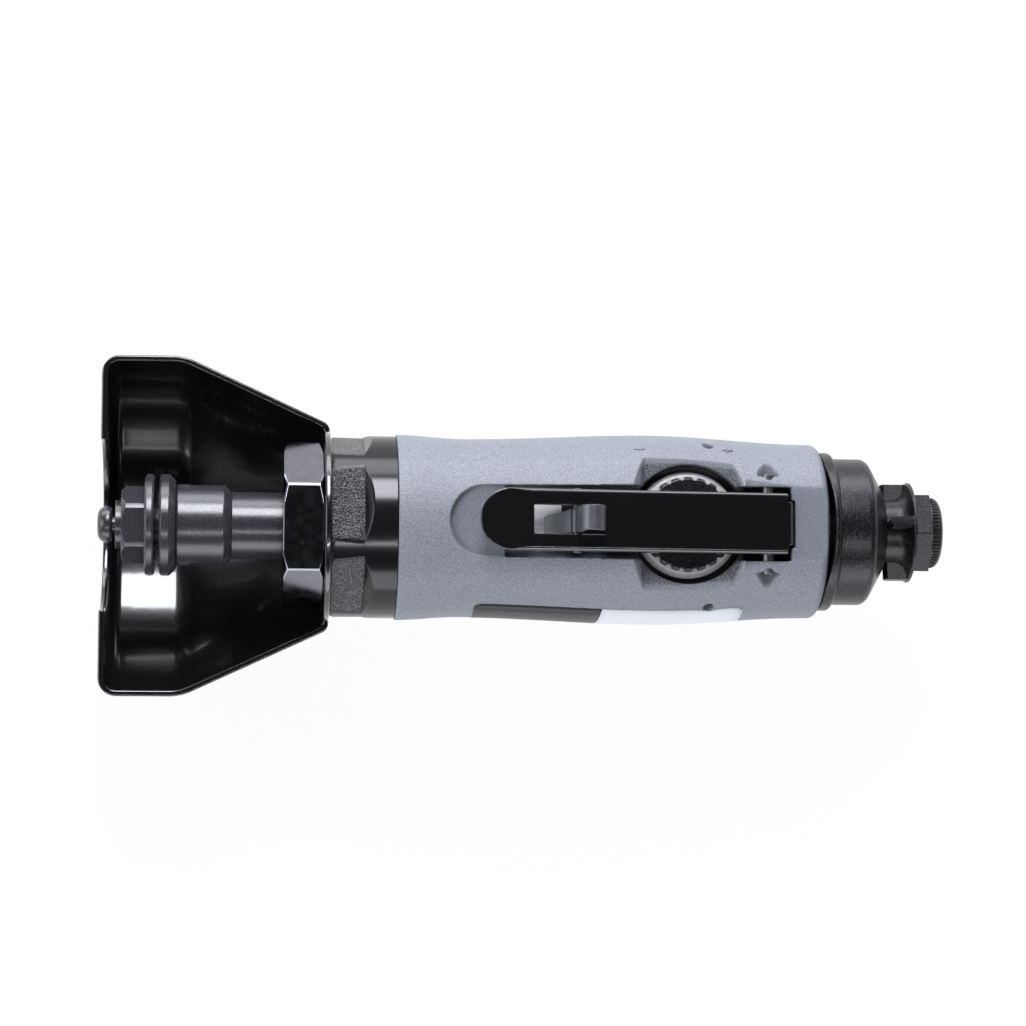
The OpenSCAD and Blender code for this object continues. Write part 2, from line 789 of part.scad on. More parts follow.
module rear_end_plate() {
    color("silver") difference() {
        union() {
            along_x(rear_plate_x, plate_t, liner_d);
            along_x(rear_plate_x, plate_t + hub_l, hub_d);
        }
        along_x(rear_plate_x - overrun, plate_t + hub_l, bearing_seat_d + 2 * free_gap);
        along_x(rear_race_x - seat_gap, rear_race_w + overrun, rear_race_d + 2 * seat_gap);
        dowel_hole(rear_plate_x - overrun, dowel_reach + overrun);
    }
}

module bearing_circlip() {
    color("black") sleeve(circlip_x, circlip_t, circlip_d, circlip_groove_d + 2 * seat_gap);
}

module motor_dowel() {
    color("silver") translate([liner_x - dowel_reach, 0, dowel_z]) rotate([0, 90, 0])
        cylinder(h = liner_l + 2 * dowel_reach, d = dowel_d);
}

// Housing
function housing_outline() =
    let (waist_x = housing_x + housing_l * waist_share, belly_x = housing_x + housing_l * belly_share,
        edge_x = tail_x - housing_tail_r, n = outline_steps)
    concat(
        [for (i = [0 : n]) [eased(housing_front_d, housing_waist_d, i / n) / 2,
            housing_x + (waist_x - housing_x) * i / n]],
        [for (i = [1 : n]) [eased(housing_waist_d, housing_belly_d, i / n) / 2,
            waist_x + (belly_x - waist_x) * i / n]],
        [for (i = [1 : n - 1]) [eased(housing_belly_d, housing_tail_d, i / n) / 2,
            belly_x + (edge_x - belly_x) * i / n]],
        arc([housing_tail_d / 2 - housing_tail_r, edge_x], housing_tail_r, 0, 90, 6));

// Plan of the lever pocket: round in front, square behind
module pocket_outline() {
    front_x = pivot_x - lever_l - pocket_front_gap;
    rear_x = pivot_x + lever_tail_l + pocket_rear_gap;
    r = pocket_w / 2;
    translate([front_x + r, 0]) circle(r = r);
    polygon([[front_x + r, -r], [rear_x, -pocket_rear_w / 2],
        [rear_x, pocket_rear_w / 2], [front_x + r, r]]);
}

// The cuts of the lever and the regulator
module lever_pocket() {
    rear_x = pivot_x + lever_tail_l + pocket_rear_gap;
    top = housing_belly_d;
    translate([0, 0, pocket_front_z]) linear_extrude(height = top) pocket_outline();
    translate([0, 0, pocket_floor_z]) linear_extrude(height = top) intersection() {
        pocket_outline();
        translate([pivot_x - flange_start - pocket_step_gap, -top]) square([housing_l, 2 * top]);
    }
    translate([rear_x - overrun, -lever_flap_w / 2 - flap_notch_gap, pocket_rear_z])
        cube([flap_notch_l + overrun, lever_flap_w + 2 * flap_notch_gap, top]);
    translate([pivot_x - pocket_rear_l, -pocket_rear_w / 2, pocket_rear_z])
        cube([rear_x - pivot_x + pocket_rear_l, pocket_rear_w, top]);
    pulled_y(2 * housing_belly_d) translate([valve_x, pocket_floor_z]) polygon([
        [-facet_l / 2, 0], [facet_l / 2, 0],
        [facet_l / 2 + facet_slope * top, top], [-facet_l / 2 - facet_slope * top, top]]);
    along_z(valve_x, well_z, top, 2 * well_r);
    translate([pivot_x - pocket_rear_l, -top, spine_z]) cube([housing_l, 2 * top, top]);
}

// Bores for the motor, the valve, the pins, the air inlet and the exhaust
module housing_bores() {
    along_x(housing_x - overrun, boss_l + overrun, collar_boss_d + 2 * seat_gap);
    along_x(housing_x, motor_end_x - housing_x, motor_bore_d);
    along_x(housing_x, spindle_end_x + free_gap - housing_x, circlip_d + 2 * free_gap);
    for (side = [-1, 1]) rotate([180 + side * exhaust_angle, 0, 0])
        translate([liner_x + exhaust_start, 0, exhaust_r]) rotate([0, 90, 0])
        cylinder(h = tail_x - liner_x, d = exhaust_d);
    along_z(valve_x, valve_bore_z, well_z - valve_bore_z + overrun, valve_bore_d);
    drilled([valve_x, 0, port_z], [motor_end_x - overrun, port_y, port_side_z], port_bore_d);
    along_x(bushing_front_x, tail_x - bushing_front_x + overrun, bushing_d + 2 * seat_gap);
    drilled([bushing_front_x + overrun, 0, 0], [valve_x, 0, air_z], air_d);
    along_y(pivot_x, lever_pin_z, 2 * housing_belly_d, lever_pin_d + 2 * seat_gap);
    for (side = [-1, 1]) translate([pivot_x, side * (pin_mouth_y + housing_belly_d / 2), 0])
        along_y(0, lever_pin_z + pin_mouth_lift, housing_belly_d, pin_mouth_d);
    along_y(retaining_pin_x, retaining_pin_z, housing_belly_d + overrun, retaining_pin_d + 2 * seat_gap);
}

module housing() {
    color("slategray") difference() {
        turned() polygon(concat([[0, housing_x]], housing_outline(), [[0, tail_x]]));
        lever_pocket();
        housing_bores();
    }
}

module stop_plate() {
    front_x = pivot_x - slot_front - edge_break;
    color("lightgray") translate([front_x, -stop_plate_w / 2, pocket_floor_z])
        cube([stop_plate_l, stop_plate_w, stop_plate_t]);
}

// Lever: a channel with a round flat tongue in front, a slot for the latch and two pairs of pin holes
module lever_plan() {
    tip_x = pivot_x - lever_l;
    r = lever_w / 2;
    translate([tip_x + r, 0]) circle(r = r);
    translate([tip_x + r, -r]) square([lever_l + lever_tail_l - r, lever_w]);
}

// Side view of the lever's flanges, deep at the pin, shallow over the regulator
module lever_side() {
    polygon([
        [pivot_x - flange_start, lever_top_z],
        [pivot_x - flange_start, lever_top_z - lever_sheet],
        [pivot_x - flange_start + lever_bend_r, flange_front_z],
        [pivot_x - flange_mid_start - lever_bend_r, flange_front_z],
        [pivot_x - flange_mid_start, flange_mid_z],
        [pivot_x - flange_mid_end, flange_mid_z],
        [pivot_x - flange_mid_end + lever_bend_r, flange_rear_z],
        [pivot_x + lever_tail_l, flange_rear_z],
        [pivot_x + lever_tail_l, lever_top_z]]);
}

// Cross section of the channel with bent upper corners, as [Y, Z]
module lever_section(r, w, top) {
    depth = top - flange_rear_z;
    translate([-w / 2, flange_rear_z]) square([w, depth - r]);
    translate([-w / 2 + r, flange_rear_z]) square([w - 2 * r, depth]);
    for (side = [-1, 1]) translate([side * (w / 2 - r), top - r]) circle(r = r);
}

// Side view of the narrow flap bent down behind the pin
module lever_flap() {
    end_x = pivot_x + lever_tail_l;
    polygon(concat(
        [[end_x - lever_sheet, flange_rear_z], [end_x + lever_flap_l, flange_rear_z]],
        arc([end_x, lever_top_z - lever_flap_l], lever_flap_l, 0, 90, 5),
        [[end_x - lever_sheet, lever_top_z]]));
}

module throttle_lever() {
    start_x = pivot_x - flange_start;
    inner_w = lever_w - 2 * lever_sheet;
    channel_l = flange_start + lever_tail_l;
    color("black") released() difference() {
        union() {
            intersection() {
                translate([0, 0, lever_top_z - lever_sheet]) linear_extrude(height = lever_sheet)
                    lever_plan();
                translate([start_x - lever_l, -lever_w, 0])
                    cube([lever_l + edge_break, 2 * lever_w, 2 * lever_top_z]);
            }
            intersection() {
                translate([start_x, 0, 0]) rotate([90, 0, 90]) linear_extrude(height = channel_l)
                    difference() {
                        lever_section(lever_bend_r, lever_w, lever_top_z);
                        translate([0, -overrun]) lever_section(lever_bend_r - lever_sheet / 2, inner_w,
                            lever_top_z - lever_sheet + overrun);
                    }
                pulled_y(2 * lever_w) lever_side();
            }
            pulled_y(lever_flap_w) lever_flap();
        }
        translate([pivot_x - slot_front, -slot_w / 2, lever_top_z - 2 * lever_sheet])
            cube([slot_front - slot_rear, slot_w, 4 * lever_sheet]);
        along_y(pivot_x, lever_pin_z, 2 * lever_w, lever_pin_d + 2 * running_gap);
        along_y(pivot_x - latch_arm, latch_pin_z, 2 * lever_w, latch_pin_d + 2 * seat_gap);
    }
}

module lever_pin() {
    color("silver") along_y(pivot_x, lever_pin_z, 2 * (pin_mouth_y + pin_end_l), lever_pin_d);
}

// Latch: a foot that stands on the stop plate, a hub on its pin and a curled thumb piece
module latch_outline() {
    half = latch_sheet / 2;
    curl_x = latch_curl_r - half;
    circle(d = latch_hub_d);
    polygon([[-latch_foot_x - half, -latch_foot_z], [-latch_foot_x + half, -latch_foot_z],
        [half, -half], [half, latch_curl_z], [-half, latch_curl_z], [-half, half]]);
    intersection() {
        translate([curl_x, latch_curl_z]) difference() {
            circle(r = latch_curl_r);
            circle(r = latch_curl_r - latch_sheet);
        }
        translate([curl_x - latch_curl_r, latch_curl_z]) square([2 * latch_curl_r, latch_curl_r]);
    }
}

module safety_latch() {
    foot_l = latch_foot_x + latch_sheet;
    color("gray") released() difference() {
        translate([pivot_x - latch_arm, 0, latch_pin_z]) pulled_y(latch_w) latch_outline();
        along_y(pivot_x - latch_arm, latch_pin_z, 2 * latch_w, latch_pin_d + 2 * running_gap);
        translate([pivot_x - latch_arm, latch_w / 2, 0]) linear_extrude(height = 2 * lever_top_z)
            polygon([[-foot_l, -latch_foot_cut], [-latch_hub_d / 2, 0],
                [-latch_hub_d / 2, overrun], [-foot_l, overrun]]);
    }
}

module latch_pin() {
    color("silver") released()
        along_y(pivot_x - latch_arm, latch_pin_z, lever_w + 2 * free_gap, latch_pin_d);
}

module latch_spring() {
    h = latch_spring_curls * latch_spring_pitch;
    mean_d = latch_pin_d + latch_spring_wire + free_gap;
    color("silver") released()
        translate([pivot_x - latch_arm, -latch_w / 2 - latch_spring_gap, latch_pin_z]) rotate([90, 0, 0])
        coil(mean_d, latch_spring_wire, latch_spring_curls, h);
}

// Regulator: a scalloped knob on a shank that a cross pin holds by its groove
module regulator_knob() {
    groove_d = 2 * (retaining_pin_x - valve_x - retaining_pin_d / 2 - retaining_gap);
    groove_h = retaining_pin_d + 2 * retaining_gap;
    color("black") difference() {
        union() {
            translate([valve_x, 0, 0]) rotate_extrude() polygon([
                [0, knob_under_z], [knob_d / 2, knob_under_z], [knob_d / 2, knob_top_z - knob_edge],
                [knob_d / 2 - knob_edge, knob_top_z], [0, knob_top_z]]);
            along_z(valve_x, shank_z, knob_under_z - shank_z + edge_break, shank_d);
        }
        for (i = [0 : knob_scallops - 1]) translate([valve_x, 0, knob_under_z - overrun])
            rotate([0, 0, 360 * i / knob_scallops]) translate([knob_d / 2, 0, 0])
            cylinder(h = knob_top_z - knob_under_z + 2 * overrun, d = scallop_d);
        translate([valve_x, 0, retaining_pin_z - groove_h / 2]) difference() {
            cylinder(h = groove_h, d = shank_d + overrun);
            translate([0, 0, -overrun]) cylinder(h = groove_h + 2 * overrun, d = groove_d);
        }
        along_z(valve_x, shank_z - overrun, knob_top_z - shank_z + 2 * overrun, knob_bore_d);
        for (turn = [-30, 0, 30]) translate([valve_x, 0, port_z]) rotate([0, 90, 150 + turn])
            cylinder(h = shank_d, d = port_bore_d / 2);
    }
}

module regulator_washer() {
    color("lightgray") translate([valve_x, 0, well_z]) rotate_extrude() polygon([
        [valve_bore_d / 2, 0], [washer_r, 0], [washer_r, washer_rim_t],
        [washer_r - washer_slope, washer_t], [valve_bore_d / 2, washer_t]]);
}

module regulator_pin() {
    color("dimgray") along_y(retaining_pin_x, retaining_pin_z, retaining_pin_l, retaining_pin_d);
}

// Throttle valve
module valve_bush() {
    color("goldenrod") difference() {
        along_z(valve_x, bush_z, bush_top_z - bush_z, valve_bore_d - 2 * seat_gap);
        along_z(valve_x, bush_z - overrun, bush_top_z - bush_z + 2 * overrun, bush_bore_d);
    }
}

module valve_stem() {
    color("goldenrod") union() {
        along_z(valve_x, valve_head_z, stem_top_z - valve_head_z, valve_stem_d);
        along_z(valve_x, valve_head_z, valve_head_t, valve_head_d);
    }
}

module valve_seal() {
    color("black") difference() {
        along_z(valve_x, valve_head_z + valve_head_t, valve_seal_t - seat_gap, valve_head_d);
        along_z(valve_x, valve_head_z, valve_head_t + 2 * valve_seal_t, valve_stem_d + 2 * seat_gap);
    }
}

module valve_spring() {
    h = valve_head_z - valve_bore_z - 2 * seat_gap;
    color("silver") translate([valve_x, 0, valve_bore_z + seat_gap])
        coil(spring_mean_d, valve_wire_d, valve_curls, h);
}

// Rear end
module rear_gasket() {
    color("black") sleeve(tail_x, gasket_t, ring_d - 2 * gasket_inset, ring_d - 2 * ring_wall);
}

// The ring has a crescent vent at the top, next to the housing's rear edge
module exhaust_ring() {
    r = ring_d / 2;
    color("black") difference() {
        turned() polygon(concat(
            [[r - ring_wall, ring_x], [r, ring_x]],
            arc([r - ring_edge_r, deflector_x - ring_edge_r], ring_edge_r, 0, 90, 4),
            [[r - ring_wall, deflector_x]]));
        translate([ring_x + ring_vent_l - ring_vent_r, 0, 0]) cylinder(h = ring_d, r = ring_vent_r);
    }
}

// Deflector: a straight skirt that leans in, round a soft edge, to a lip around the inlet bushing
function deflector_profile(inset) =
    let (r = deflector_d / 2, lean = atan((r - lip_r - lip_w) / deflector_cone_l),
        start_x = cone_x - inset * tan(lean / 2), end_x = lip_x - inset,
        edge_r = deflector_edge_r - inset)
    concat(
        arc([r - deflector_edge_r, start_x - edge_r * tan(lean / 2)], edge_r, 0, lean, 5),
        [[r - inset - (end_x - start_x) * tan(lean), end_x]]);

module exhaust_deflector() {
    outer = deflector_profile(0);
    inner = deflector_profile(deflector_wall);
    color("black") turned() difference() {
        polygon(concat([[lip_r, deflector_x], [deflector_d / 2, deflector_x]], outer, [[lip_r, lip_x]]));
        polygon(concat([[0, deflector_x - overrun],
            [deflector_d / 2 - deflector_wall, deflector_x - overrun]],
            inner, [[0, lip_x - deflector_wall]]));
    }
}

module exhaust_silencer() {
    d = deflector_d - 2 * deflector_wall - 2 * seat_gap;
    color("gray") sleeve(deflector_x + silencer_gap, silencer_l, d, bushing_d + 2 * seat_gap);
}

// One web, with a free round end towards the deflector
module web() {
    round_x = lip_x + web_end_gap + web_t / 2;
    translate([round_x, 0, 0]) cylinder(h = web_r, d = web_t);
    translate([round_x, -web_t / 2, 0]) cube([disc_x + disc_t / 3 - round_x, web_t, web_r]);
}

// Inlet bushing: threaded shank, four webs that hold the deflector, flared disc and hexagon
module inlet_bushing() {
    disc_edge = disc_t / 3;
    corner_r = inlet_af / cos(30) / 2;
    color("black") difference() {
        union() {
            along_x(bushing_front_x, inlet_hex_x - bushing_front_x, bushing_d);
            turned() polygon([[0, disc_x], [disc_d / 2 - disc_edge, disc_x],
                [disc_d / 2, disc_x + disc_edge], [disc_d / 2, disc_x + 2 * disc_edge],
                [inlet_af / 2, inlet_hex_x], [0, inlet_hex_x]]);
            turned() polygon(concat([[0, disc_x - flare_r]],
                arc([bushing_d / 2 + flare_r, disc_x - flare_r], flare_r, 180, 90, 6), [[0, disc_x]]));
            for (i = [0 : 3]) rotate([web_turn + 90 * i, 0, 0])
                web();
            intersection() {
                hexagon(inlet_hex_x - disc_edge, inlet_hex_l + disc_edge, inlet_af, 30 + nut_turn);
                turned() polygon([[0, disc_x], [inlet_af, disc_x], [corner_r, mouth_x - edge_break],
                    [inlet_af / 2, mouth_x], [0, mouth_x]]);
            }
        }
        along_x(bushing_front_x - overrun, mouth_x - bushing_front_x, inlet_air_d);
        along_x(strainer_x, mouth_x - strainer_x, strainer_seat_d);
        along_x(thread_x, mouth_x - thread_x, inlet_bore_d);
        along_x(mouth_x - plug_seat_l, plug_seat_l + overrun, plug_seat_d);
    }
}

module inlet_strainer() {
    cup_d = inlet_air_d - 2 * free_gap;
    front_x = strainer_x - strainer_l;
    color("silver") difference() {
        union() {
            along_x(front_x, strainer_l + strainer_wall, cup_d);
            along_x(strainer_x, strainer_wall, strainer_seat_d - 2 * seat_gap);
        }
        along_x(front_x + strainer_wall, strainer_l + overrun, cup_d - 2 * strainer_wall);
        for (row = [1 : strainer_rows]) for (i = [0 : strainer_holes / 2 - 1])
            translate([front_x + strainer_l * row / (strainer_rows + 1), 0, 0])
            rotate([360 * i / strainer_holes, 0, 0])
            translate([0, 0, -cup_d]) cylinder(h = 2 * cup_d, d = strainer_hole_d);
    }
}

module transport_plug() {
    r = plug_d / 2;
    spigot_r = plug_seat_d / 2 - 2 * running_gap;
    head_x = mouth_x + seat_gap;
    spigot_x = mouth_x - plug_seat_l + free_gap;
    color("black") difference() {
        turned() polygon(concat(
            [[0, spigot_x], [spigot_r, spigot_x], [spigot_r, head_x], [r, head_x]],
            arc([r - plug_edge_r, head_x + plug_l - plug_edge_r], plug_edge_r, 0, 90, 5),
            [[0, head_x + plug_l]]));
        for (i = [0 : plug_ridges - 1]) rotate([360 * i / plug_ridges, 0, 0])
            translate([head_x + edge_break, 0, r]) rotate([0, 90, 0])
            cylinder(h = plug_l, d = plug_ridge_d);
    }
}

lock_screw();
clamp_nut();
outer_flange();
inner_flange();
arbor();
spindle();
guard();
guard_nut();
nose_collar();
spindle_seal();
front_bearing_outer_race();
front_bearing_inner_race();
front_bearing_balls();
front_end_plate();
cylinder_liner();
rotor();
rotor_key();
rotor_vanes();
rear_end_plate();
rear_bearing_outer_race();
rear_bearing_inner_race();
rear_bearing_balls();
bearing_circlip();
motor_dowel();
housing();
stop_plate();
throttle_lever();
lever_pin();
safety_latch();
latch_pin();
latch_spring();
regulator_knob();
regulator_washer();
regulator_pin();
valve_bush();
valve_stem();
valve_seal();
valve_spring();
rear_gasket();
exhaust_ring();
exhaust_deflector();
exhaust_silencer();
inlet_bushing();
inlet_strainer();
transport_plug();
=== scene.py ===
"""Looks of the air cut-off tool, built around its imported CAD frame.

X runs along the spindle from the nose to the air inlet, Z up through the lever. The stage is in metres. The tool's
own sizes are in millimetres, and MM makes them metres.
"""

import json
from math import cos, pi, radians, sin

import bmesh
import bpy
from mathutils import Matrix, Vector


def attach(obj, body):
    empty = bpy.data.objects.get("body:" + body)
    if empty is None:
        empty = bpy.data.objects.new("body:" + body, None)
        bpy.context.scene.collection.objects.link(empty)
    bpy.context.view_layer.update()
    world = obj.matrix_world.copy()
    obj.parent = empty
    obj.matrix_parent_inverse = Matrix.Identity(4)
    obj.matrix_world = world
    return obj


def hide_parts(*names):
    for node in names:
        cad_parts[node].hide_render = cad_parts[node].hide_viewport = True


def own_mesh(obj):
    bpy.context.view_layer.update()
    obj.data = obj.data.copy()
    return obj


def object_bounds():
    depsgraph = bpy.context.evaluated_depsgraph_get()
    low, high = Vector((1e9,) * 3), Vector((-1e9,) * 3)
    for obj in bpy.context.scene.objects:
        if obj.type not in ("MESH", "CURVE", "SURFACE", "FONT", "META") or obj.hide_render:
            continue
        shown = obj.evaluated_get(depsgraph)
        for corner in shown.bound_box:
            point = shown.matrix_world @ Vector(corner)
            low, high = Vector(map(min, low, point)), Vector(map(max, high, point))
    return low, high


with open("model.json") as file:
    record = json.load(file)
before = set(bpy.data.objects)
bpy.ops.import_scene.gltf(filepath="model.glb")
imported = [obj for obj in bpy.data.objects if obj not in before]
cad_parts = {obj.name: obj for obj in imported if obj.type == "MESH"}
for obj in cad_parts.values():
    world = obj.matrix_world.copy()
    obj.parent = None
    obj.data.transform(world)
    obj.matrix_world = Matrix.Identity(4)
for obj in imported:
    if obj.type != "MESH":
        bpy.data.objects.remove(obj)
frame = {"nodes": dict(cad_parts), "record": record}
cad_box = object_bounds()

MM = 0.001
scene = bpy.context.scene
scene.view_settings.view_transform = "Standard"


def linear(code):
    """An sRGB hex colour as linear RGBA."""
    parts = [int(code[i:i + 2], 16) / 255 for i in (1, 3, 5)]
    return [p / 12.92 if p <= 0.04045 else ((p + 0.055) / 1.055) ** 2.4 for p in parts] + [1]


def add(tree, kind, inputs=None, **settings):
    """Adds a node with its settings; each input is a value, or an output to link."""
    node = tree.nodes.new(kind)
    for name, value in settings.items():
        setattr(node, name, value)
    for key, value in (inputs or {}).items():
        if isinstance(value, bpy.types.NodeSocket):
            tree.links.new(value, node.inputs[key])
        else:
            node.inputs[key].default_value = value
    return node


# Camera: looks down on the tool's top side, a little from the nose and from the near side

CAMERA_PLACE = Vector((20, -70, 763)) * MM
CAMERA_AIM = Vector((87.1, 3.9, 0)) * MM
CAMERA_ROLL = radians(0.15)
CLIP_START = 10
SENSOR_MM = 36
LENS_MM = 108.75

back = (CAMERA_PLACE - CAMERA_AIM).normalized()
right = Vector((0, 1, 0)).cross(back).normalized()
facing = Matrix((right, back.cross(right), back)).transposed().to_4x4()
camera = bpy.data.objects.new("camera", bpy.data.cameras.new("camera"))
camera.data.sensor_width = SENSOR_MM
camera.data.lens = LENS_MM
camera.data.clip_start = CLIP_START * MM
camera.matrix_world = Matrix.Translation(CAMERA_PLACE) @ facing @ Matrix.Rotation(CAMERA_ROLL, 4, "Z")
scene.collection.objects.link(camera)
scene.camera = camera


# Stage, in metres: a white floor in a pale room with a dark ceiling, two softboxes on the far side, a strip above
# the near side, a low softbox below it and one past the nose

TOOL_MIDDLE = Vector((0.09, 0, 0))
LAMP_TINT = linear("#f7f9ff")
# Each lamp's place, width, height and glow; a glow of 1 is as bright as white paper
SOFTBOXES = {
    "far_softbox": ((0.04, 0.7, 0.72), 0.32, 0.46, 18),
    "far_low_softbox": ((0.09, 0.97, 0.23), 2.0, 0.44, 5),
    "near_strip": ((0.12, -0.43, 0.9), 1.0, 0.03, 24),
    "near_low_softbox": ((0.09, -0.97, 0.25), 2.0, 0.48, 3),
    "nose_softbox": ((-0.86, 0.05, 0.5), 0.6, 0.8, 3),
}
# How steeply a ray rises where the walls begin to darken, and where the ceiling is dark
WALL_RISE, CEILING_RISE = 0.35, 0.62
WALL_GLOW, CEILING_GLOW, EVEN_GLOW = 0.3, 0.015, 0.16
FLOOR_HALF, FLOOR_DROP = 40, 0.0002
PAPER_GLOW_SHARE = 0.95


def softbox(name, place, width, height, glow):
    """A rectangular lamp that faces the tool."""
    light = bpy.data.lights.new(name, "AREA")
    light.shape = "RECTANGLE"
    light.size = width
    light.size_y = height
    light.energy = glow * pi * width * height
    light.color = LAMP_TINT[:3]
    lamp = bpy.data.objects.new(name, light)
    aim = (Vector(place) - TOOL_MIDDLE).to_track_quat("Z", "Y")
    lamp.matrix_world = Matrix.Translation(place) @ aim.to_matrix().to_4x4()
    scene.collection.objects.link(lamp)


def pale_room():
    """Glossy pieces mirror pale walls under a dark ceiling; matt ones get an even light."""
    world = bpy.data.worlds.new("pale_room")
    world.use_nodes = True
    tree = world.node_tree
    tree.nodes.clear()
    sight = add(tree, "ShaderNodeTexCoord")
    rise = add(tree, "ShaderNodeSeparateXYZ", {0: sight.outputs["Generated"]})
    walls = add(tree, "ShaderNodeMapRange", {
        "Value": rise.outputs["Z"], "From Min": WALL_RISE, "From Max": CEILING_RISE,
        "To Min": WALL_GLOW, "To Max": CEILING_GLOW}, interpolation_type="SMOOTHSTEP")
    path = add(tree, "ShaderNodeLightPath")
    glow = add(tree, "ShaderNodeMix", {
        0: path.outputs["Is Diffuse Ray"], 2: walls.outputs[0], 3: EVEN_GLOW}, data_type="FLOAT")
    light = add(tree, "ShaderNodeBackground", {"Color": LAMP_TINT, "Strength": glow.outputs[0]})
    add(tree, "ShaderNodeOutputWorld", {"Surface": light.outputs["Background"]})
    return world


def blank_material(name):
    """A new material and its empty node tree."""
    material = bpy.data.materials.new(name)
    material.use_nodes = True
    material.node_tree.nodes.clear()
    return material, material.node_tree


def white_paper():
    """Matt white paper: white to the eye and in reflections, with a share that still takes the shadow."""
    material, tree = blank_material("white_paper")
    paper = add(tree, "ShaderNodeBsdfDiffuse", {"Color": linear("#f4f4f4")})
    glow = add(tree, "ShaderNodeEmission", {"Color": linear("#ffffff"), "Strength": 1.0})
    seen = add(tree, "ShaderNodeMixShader", {0: PAPER_GLOW_SHARE, 1: paper.outputs[0], 2: glow.outputs[0]})
    path = add(tree, "ShaderNodeLightPath")
    shown = path.outputs["Is Camera Ray"]
    for ray in ("Is Glossy Ray", "Is Transmission Ray"):
        shown = add(tree, "ShaderNodeMath", {0: shown, 1: path.outputs[ray]}, operation="MAXIMUM").outputs[0]
    both = add(tree, "ShaderNodeMixShader", {0: shown, 1: paper.outputs[0], 2: seen.outputs[0]})
    add(tree, "ShaderNodeOutputMaterial", {"Surface": both.outputs[0]})
    return material


def white_floor():
    """One wide sheet of paper just below the tool."""
    bm = bmesh.new()
    middle = (TOOL_MIDDLE.x, 0, cad_box[0][2] - FLOOR_DROP)
    bmesh.ops.create_grid(bm, x_segments=1, y_segments=1, size=FLOOR_HALF, matrix=Matrix.Translation(middle))
    mesh = bpy.data.meshes.new("floor")
    bm.to_mesh(mesh)
    bm.free()
    mesh.materials.append(white_paper())
    floor = bpy.data.objects.new("floor", mesh)
    scene.collection.objects.link(floor)


for name, measures in SOFTBOXES.items():
    softbox(name, *measures)
scene.world = pale_room()
white_floor()


# Finishes: patterns and grain sizes in millimetres. The finest real grains, near a tenth of a millimetre, are drawn
# at about 0.3 so that they show.

# Radii between which the collar's cast flats run out into its ground round, and where the flats end
COLLAR_CAST, COLLAR_GROUND = 22.15, 22.4
COLLAR_FLAT_END = 49.7
# Sunk facets round the regulator: their ends, the start of the taper, and the brim's radius before and behind it
SINK_FRONT, SINK_TAPER, SINK_REAR = 116.7, 128, 142.1
SINK_R, SINK_REAR_R = 22.75, 21.85
SINK_DEPTH, SINK_FADE = 0.5, 0.3
# Radii between which the mould stands in, and between which a recess is deep
PRESSED_IN, PRESSED_OUT = 21.3, 21.6
DEEP_IN, DEEP_OUT = 18.6, 19.2
# Where along the tool the painted shade of the deep recesses begins, and where it is full
RECESS_SHADE_START, RECESS_SHADE_FULL = 82, 96
WELL_X, WELL_R = 128.6, 14.55
TOP_SIDE = 8
# How far off the housing's own surfaces still cast painted shade into its creases
NOOK_REACH = 2


def per_mm(size):
    """Texture scale that gives one feature per size millimetres."""
    return 1 / (size * MM)


def start(name):
    """A new finish, its node tree and its Object coordinates."""
    material, tree = blank_material(name)
    return material, tree, add(tree, "ShaderNodeTexCoord").outputs["Object"]


def close(tree, inputs):
    """Ends a tree with the shader and the output."""
    shader = add(tree, "ShaderNodeBsdfPrincipled", inputs)
    add(tree, "ShaderNodeOutputMaterial", {"Surface": shader.outputs["BSDF"]})


def about_axis(tree, place):
    """The coordinates of a place one by one, and its distance from the spindle's axis."""
    spot = add(tree, "ShaderNodeSeparateXYZ", {0: place}).outputs
    across = add(tree, "ShaderNodeCombineXYZ", {1: spot["Y"], 2: spot["Z"]})
    return spot, add(tree, "ShaderNodeVectorMath", {0: across.outputs[0]}, operation="LENGTH").outputs["Value"]


def gloss_black_enamel():
    """Baked enamel on pressed steel: deep black, wet gloss, the sheet's slow waves, faint orange peel and a few
    dust specks."""
    material, tree, place = start("gloss_black_enamel")
    peel = add(tree, "ShaderNodeTexNoise", {"Vector": place, "Scale": per_mm(2.2), "Detail": 1.0})
    wave = add(tree, "ShaderNodeTexNoise", {"Vector": place, "Scale": per_mm(18), "Detail": 0.0})
    dust = add(tree, "ShaderNodeTexNoise", {"Vector": place, "Scale": per_mm(0.5), "Detail": 2.0})
    speck = add(tree, "ShaderNodeMapRange", {
        "Value": dust.outputs["Fac"], "From Min": 0.68, "From Max": 0.78, "To Min": 0.09, "To Max": 0.3})
    colour = add(tree, "ShaderNodeMix", {
        0: dust.outputs["Fac"], 6: linear("#070709"), 7: linear("#111114")}, data_type="RGBA")
    slow = add(tree, "ShaderNodeBump", {
        "Height": wave.outputs["Fac"], "Strength": 1.0, "Distance": 0.3 * MM})
    bump = add(tree, "ShaderNodeBump", {
        "Height": peel.outputs["Fac"], "Strength": 0.35, "Distance": 0.03 * MM, "Normal": slow.outputs[0]})
    close(tree, {"Base Color": colour.outputs[2], "Roughness": speck.outputs[0], "IOR": 1.52,
                 "Coat Weight": 1.0, "Coat Roughness": 0.23, "Normal": bump.outputs[0],
                 "Coat Normal": bump.outputs[0]})
    return material


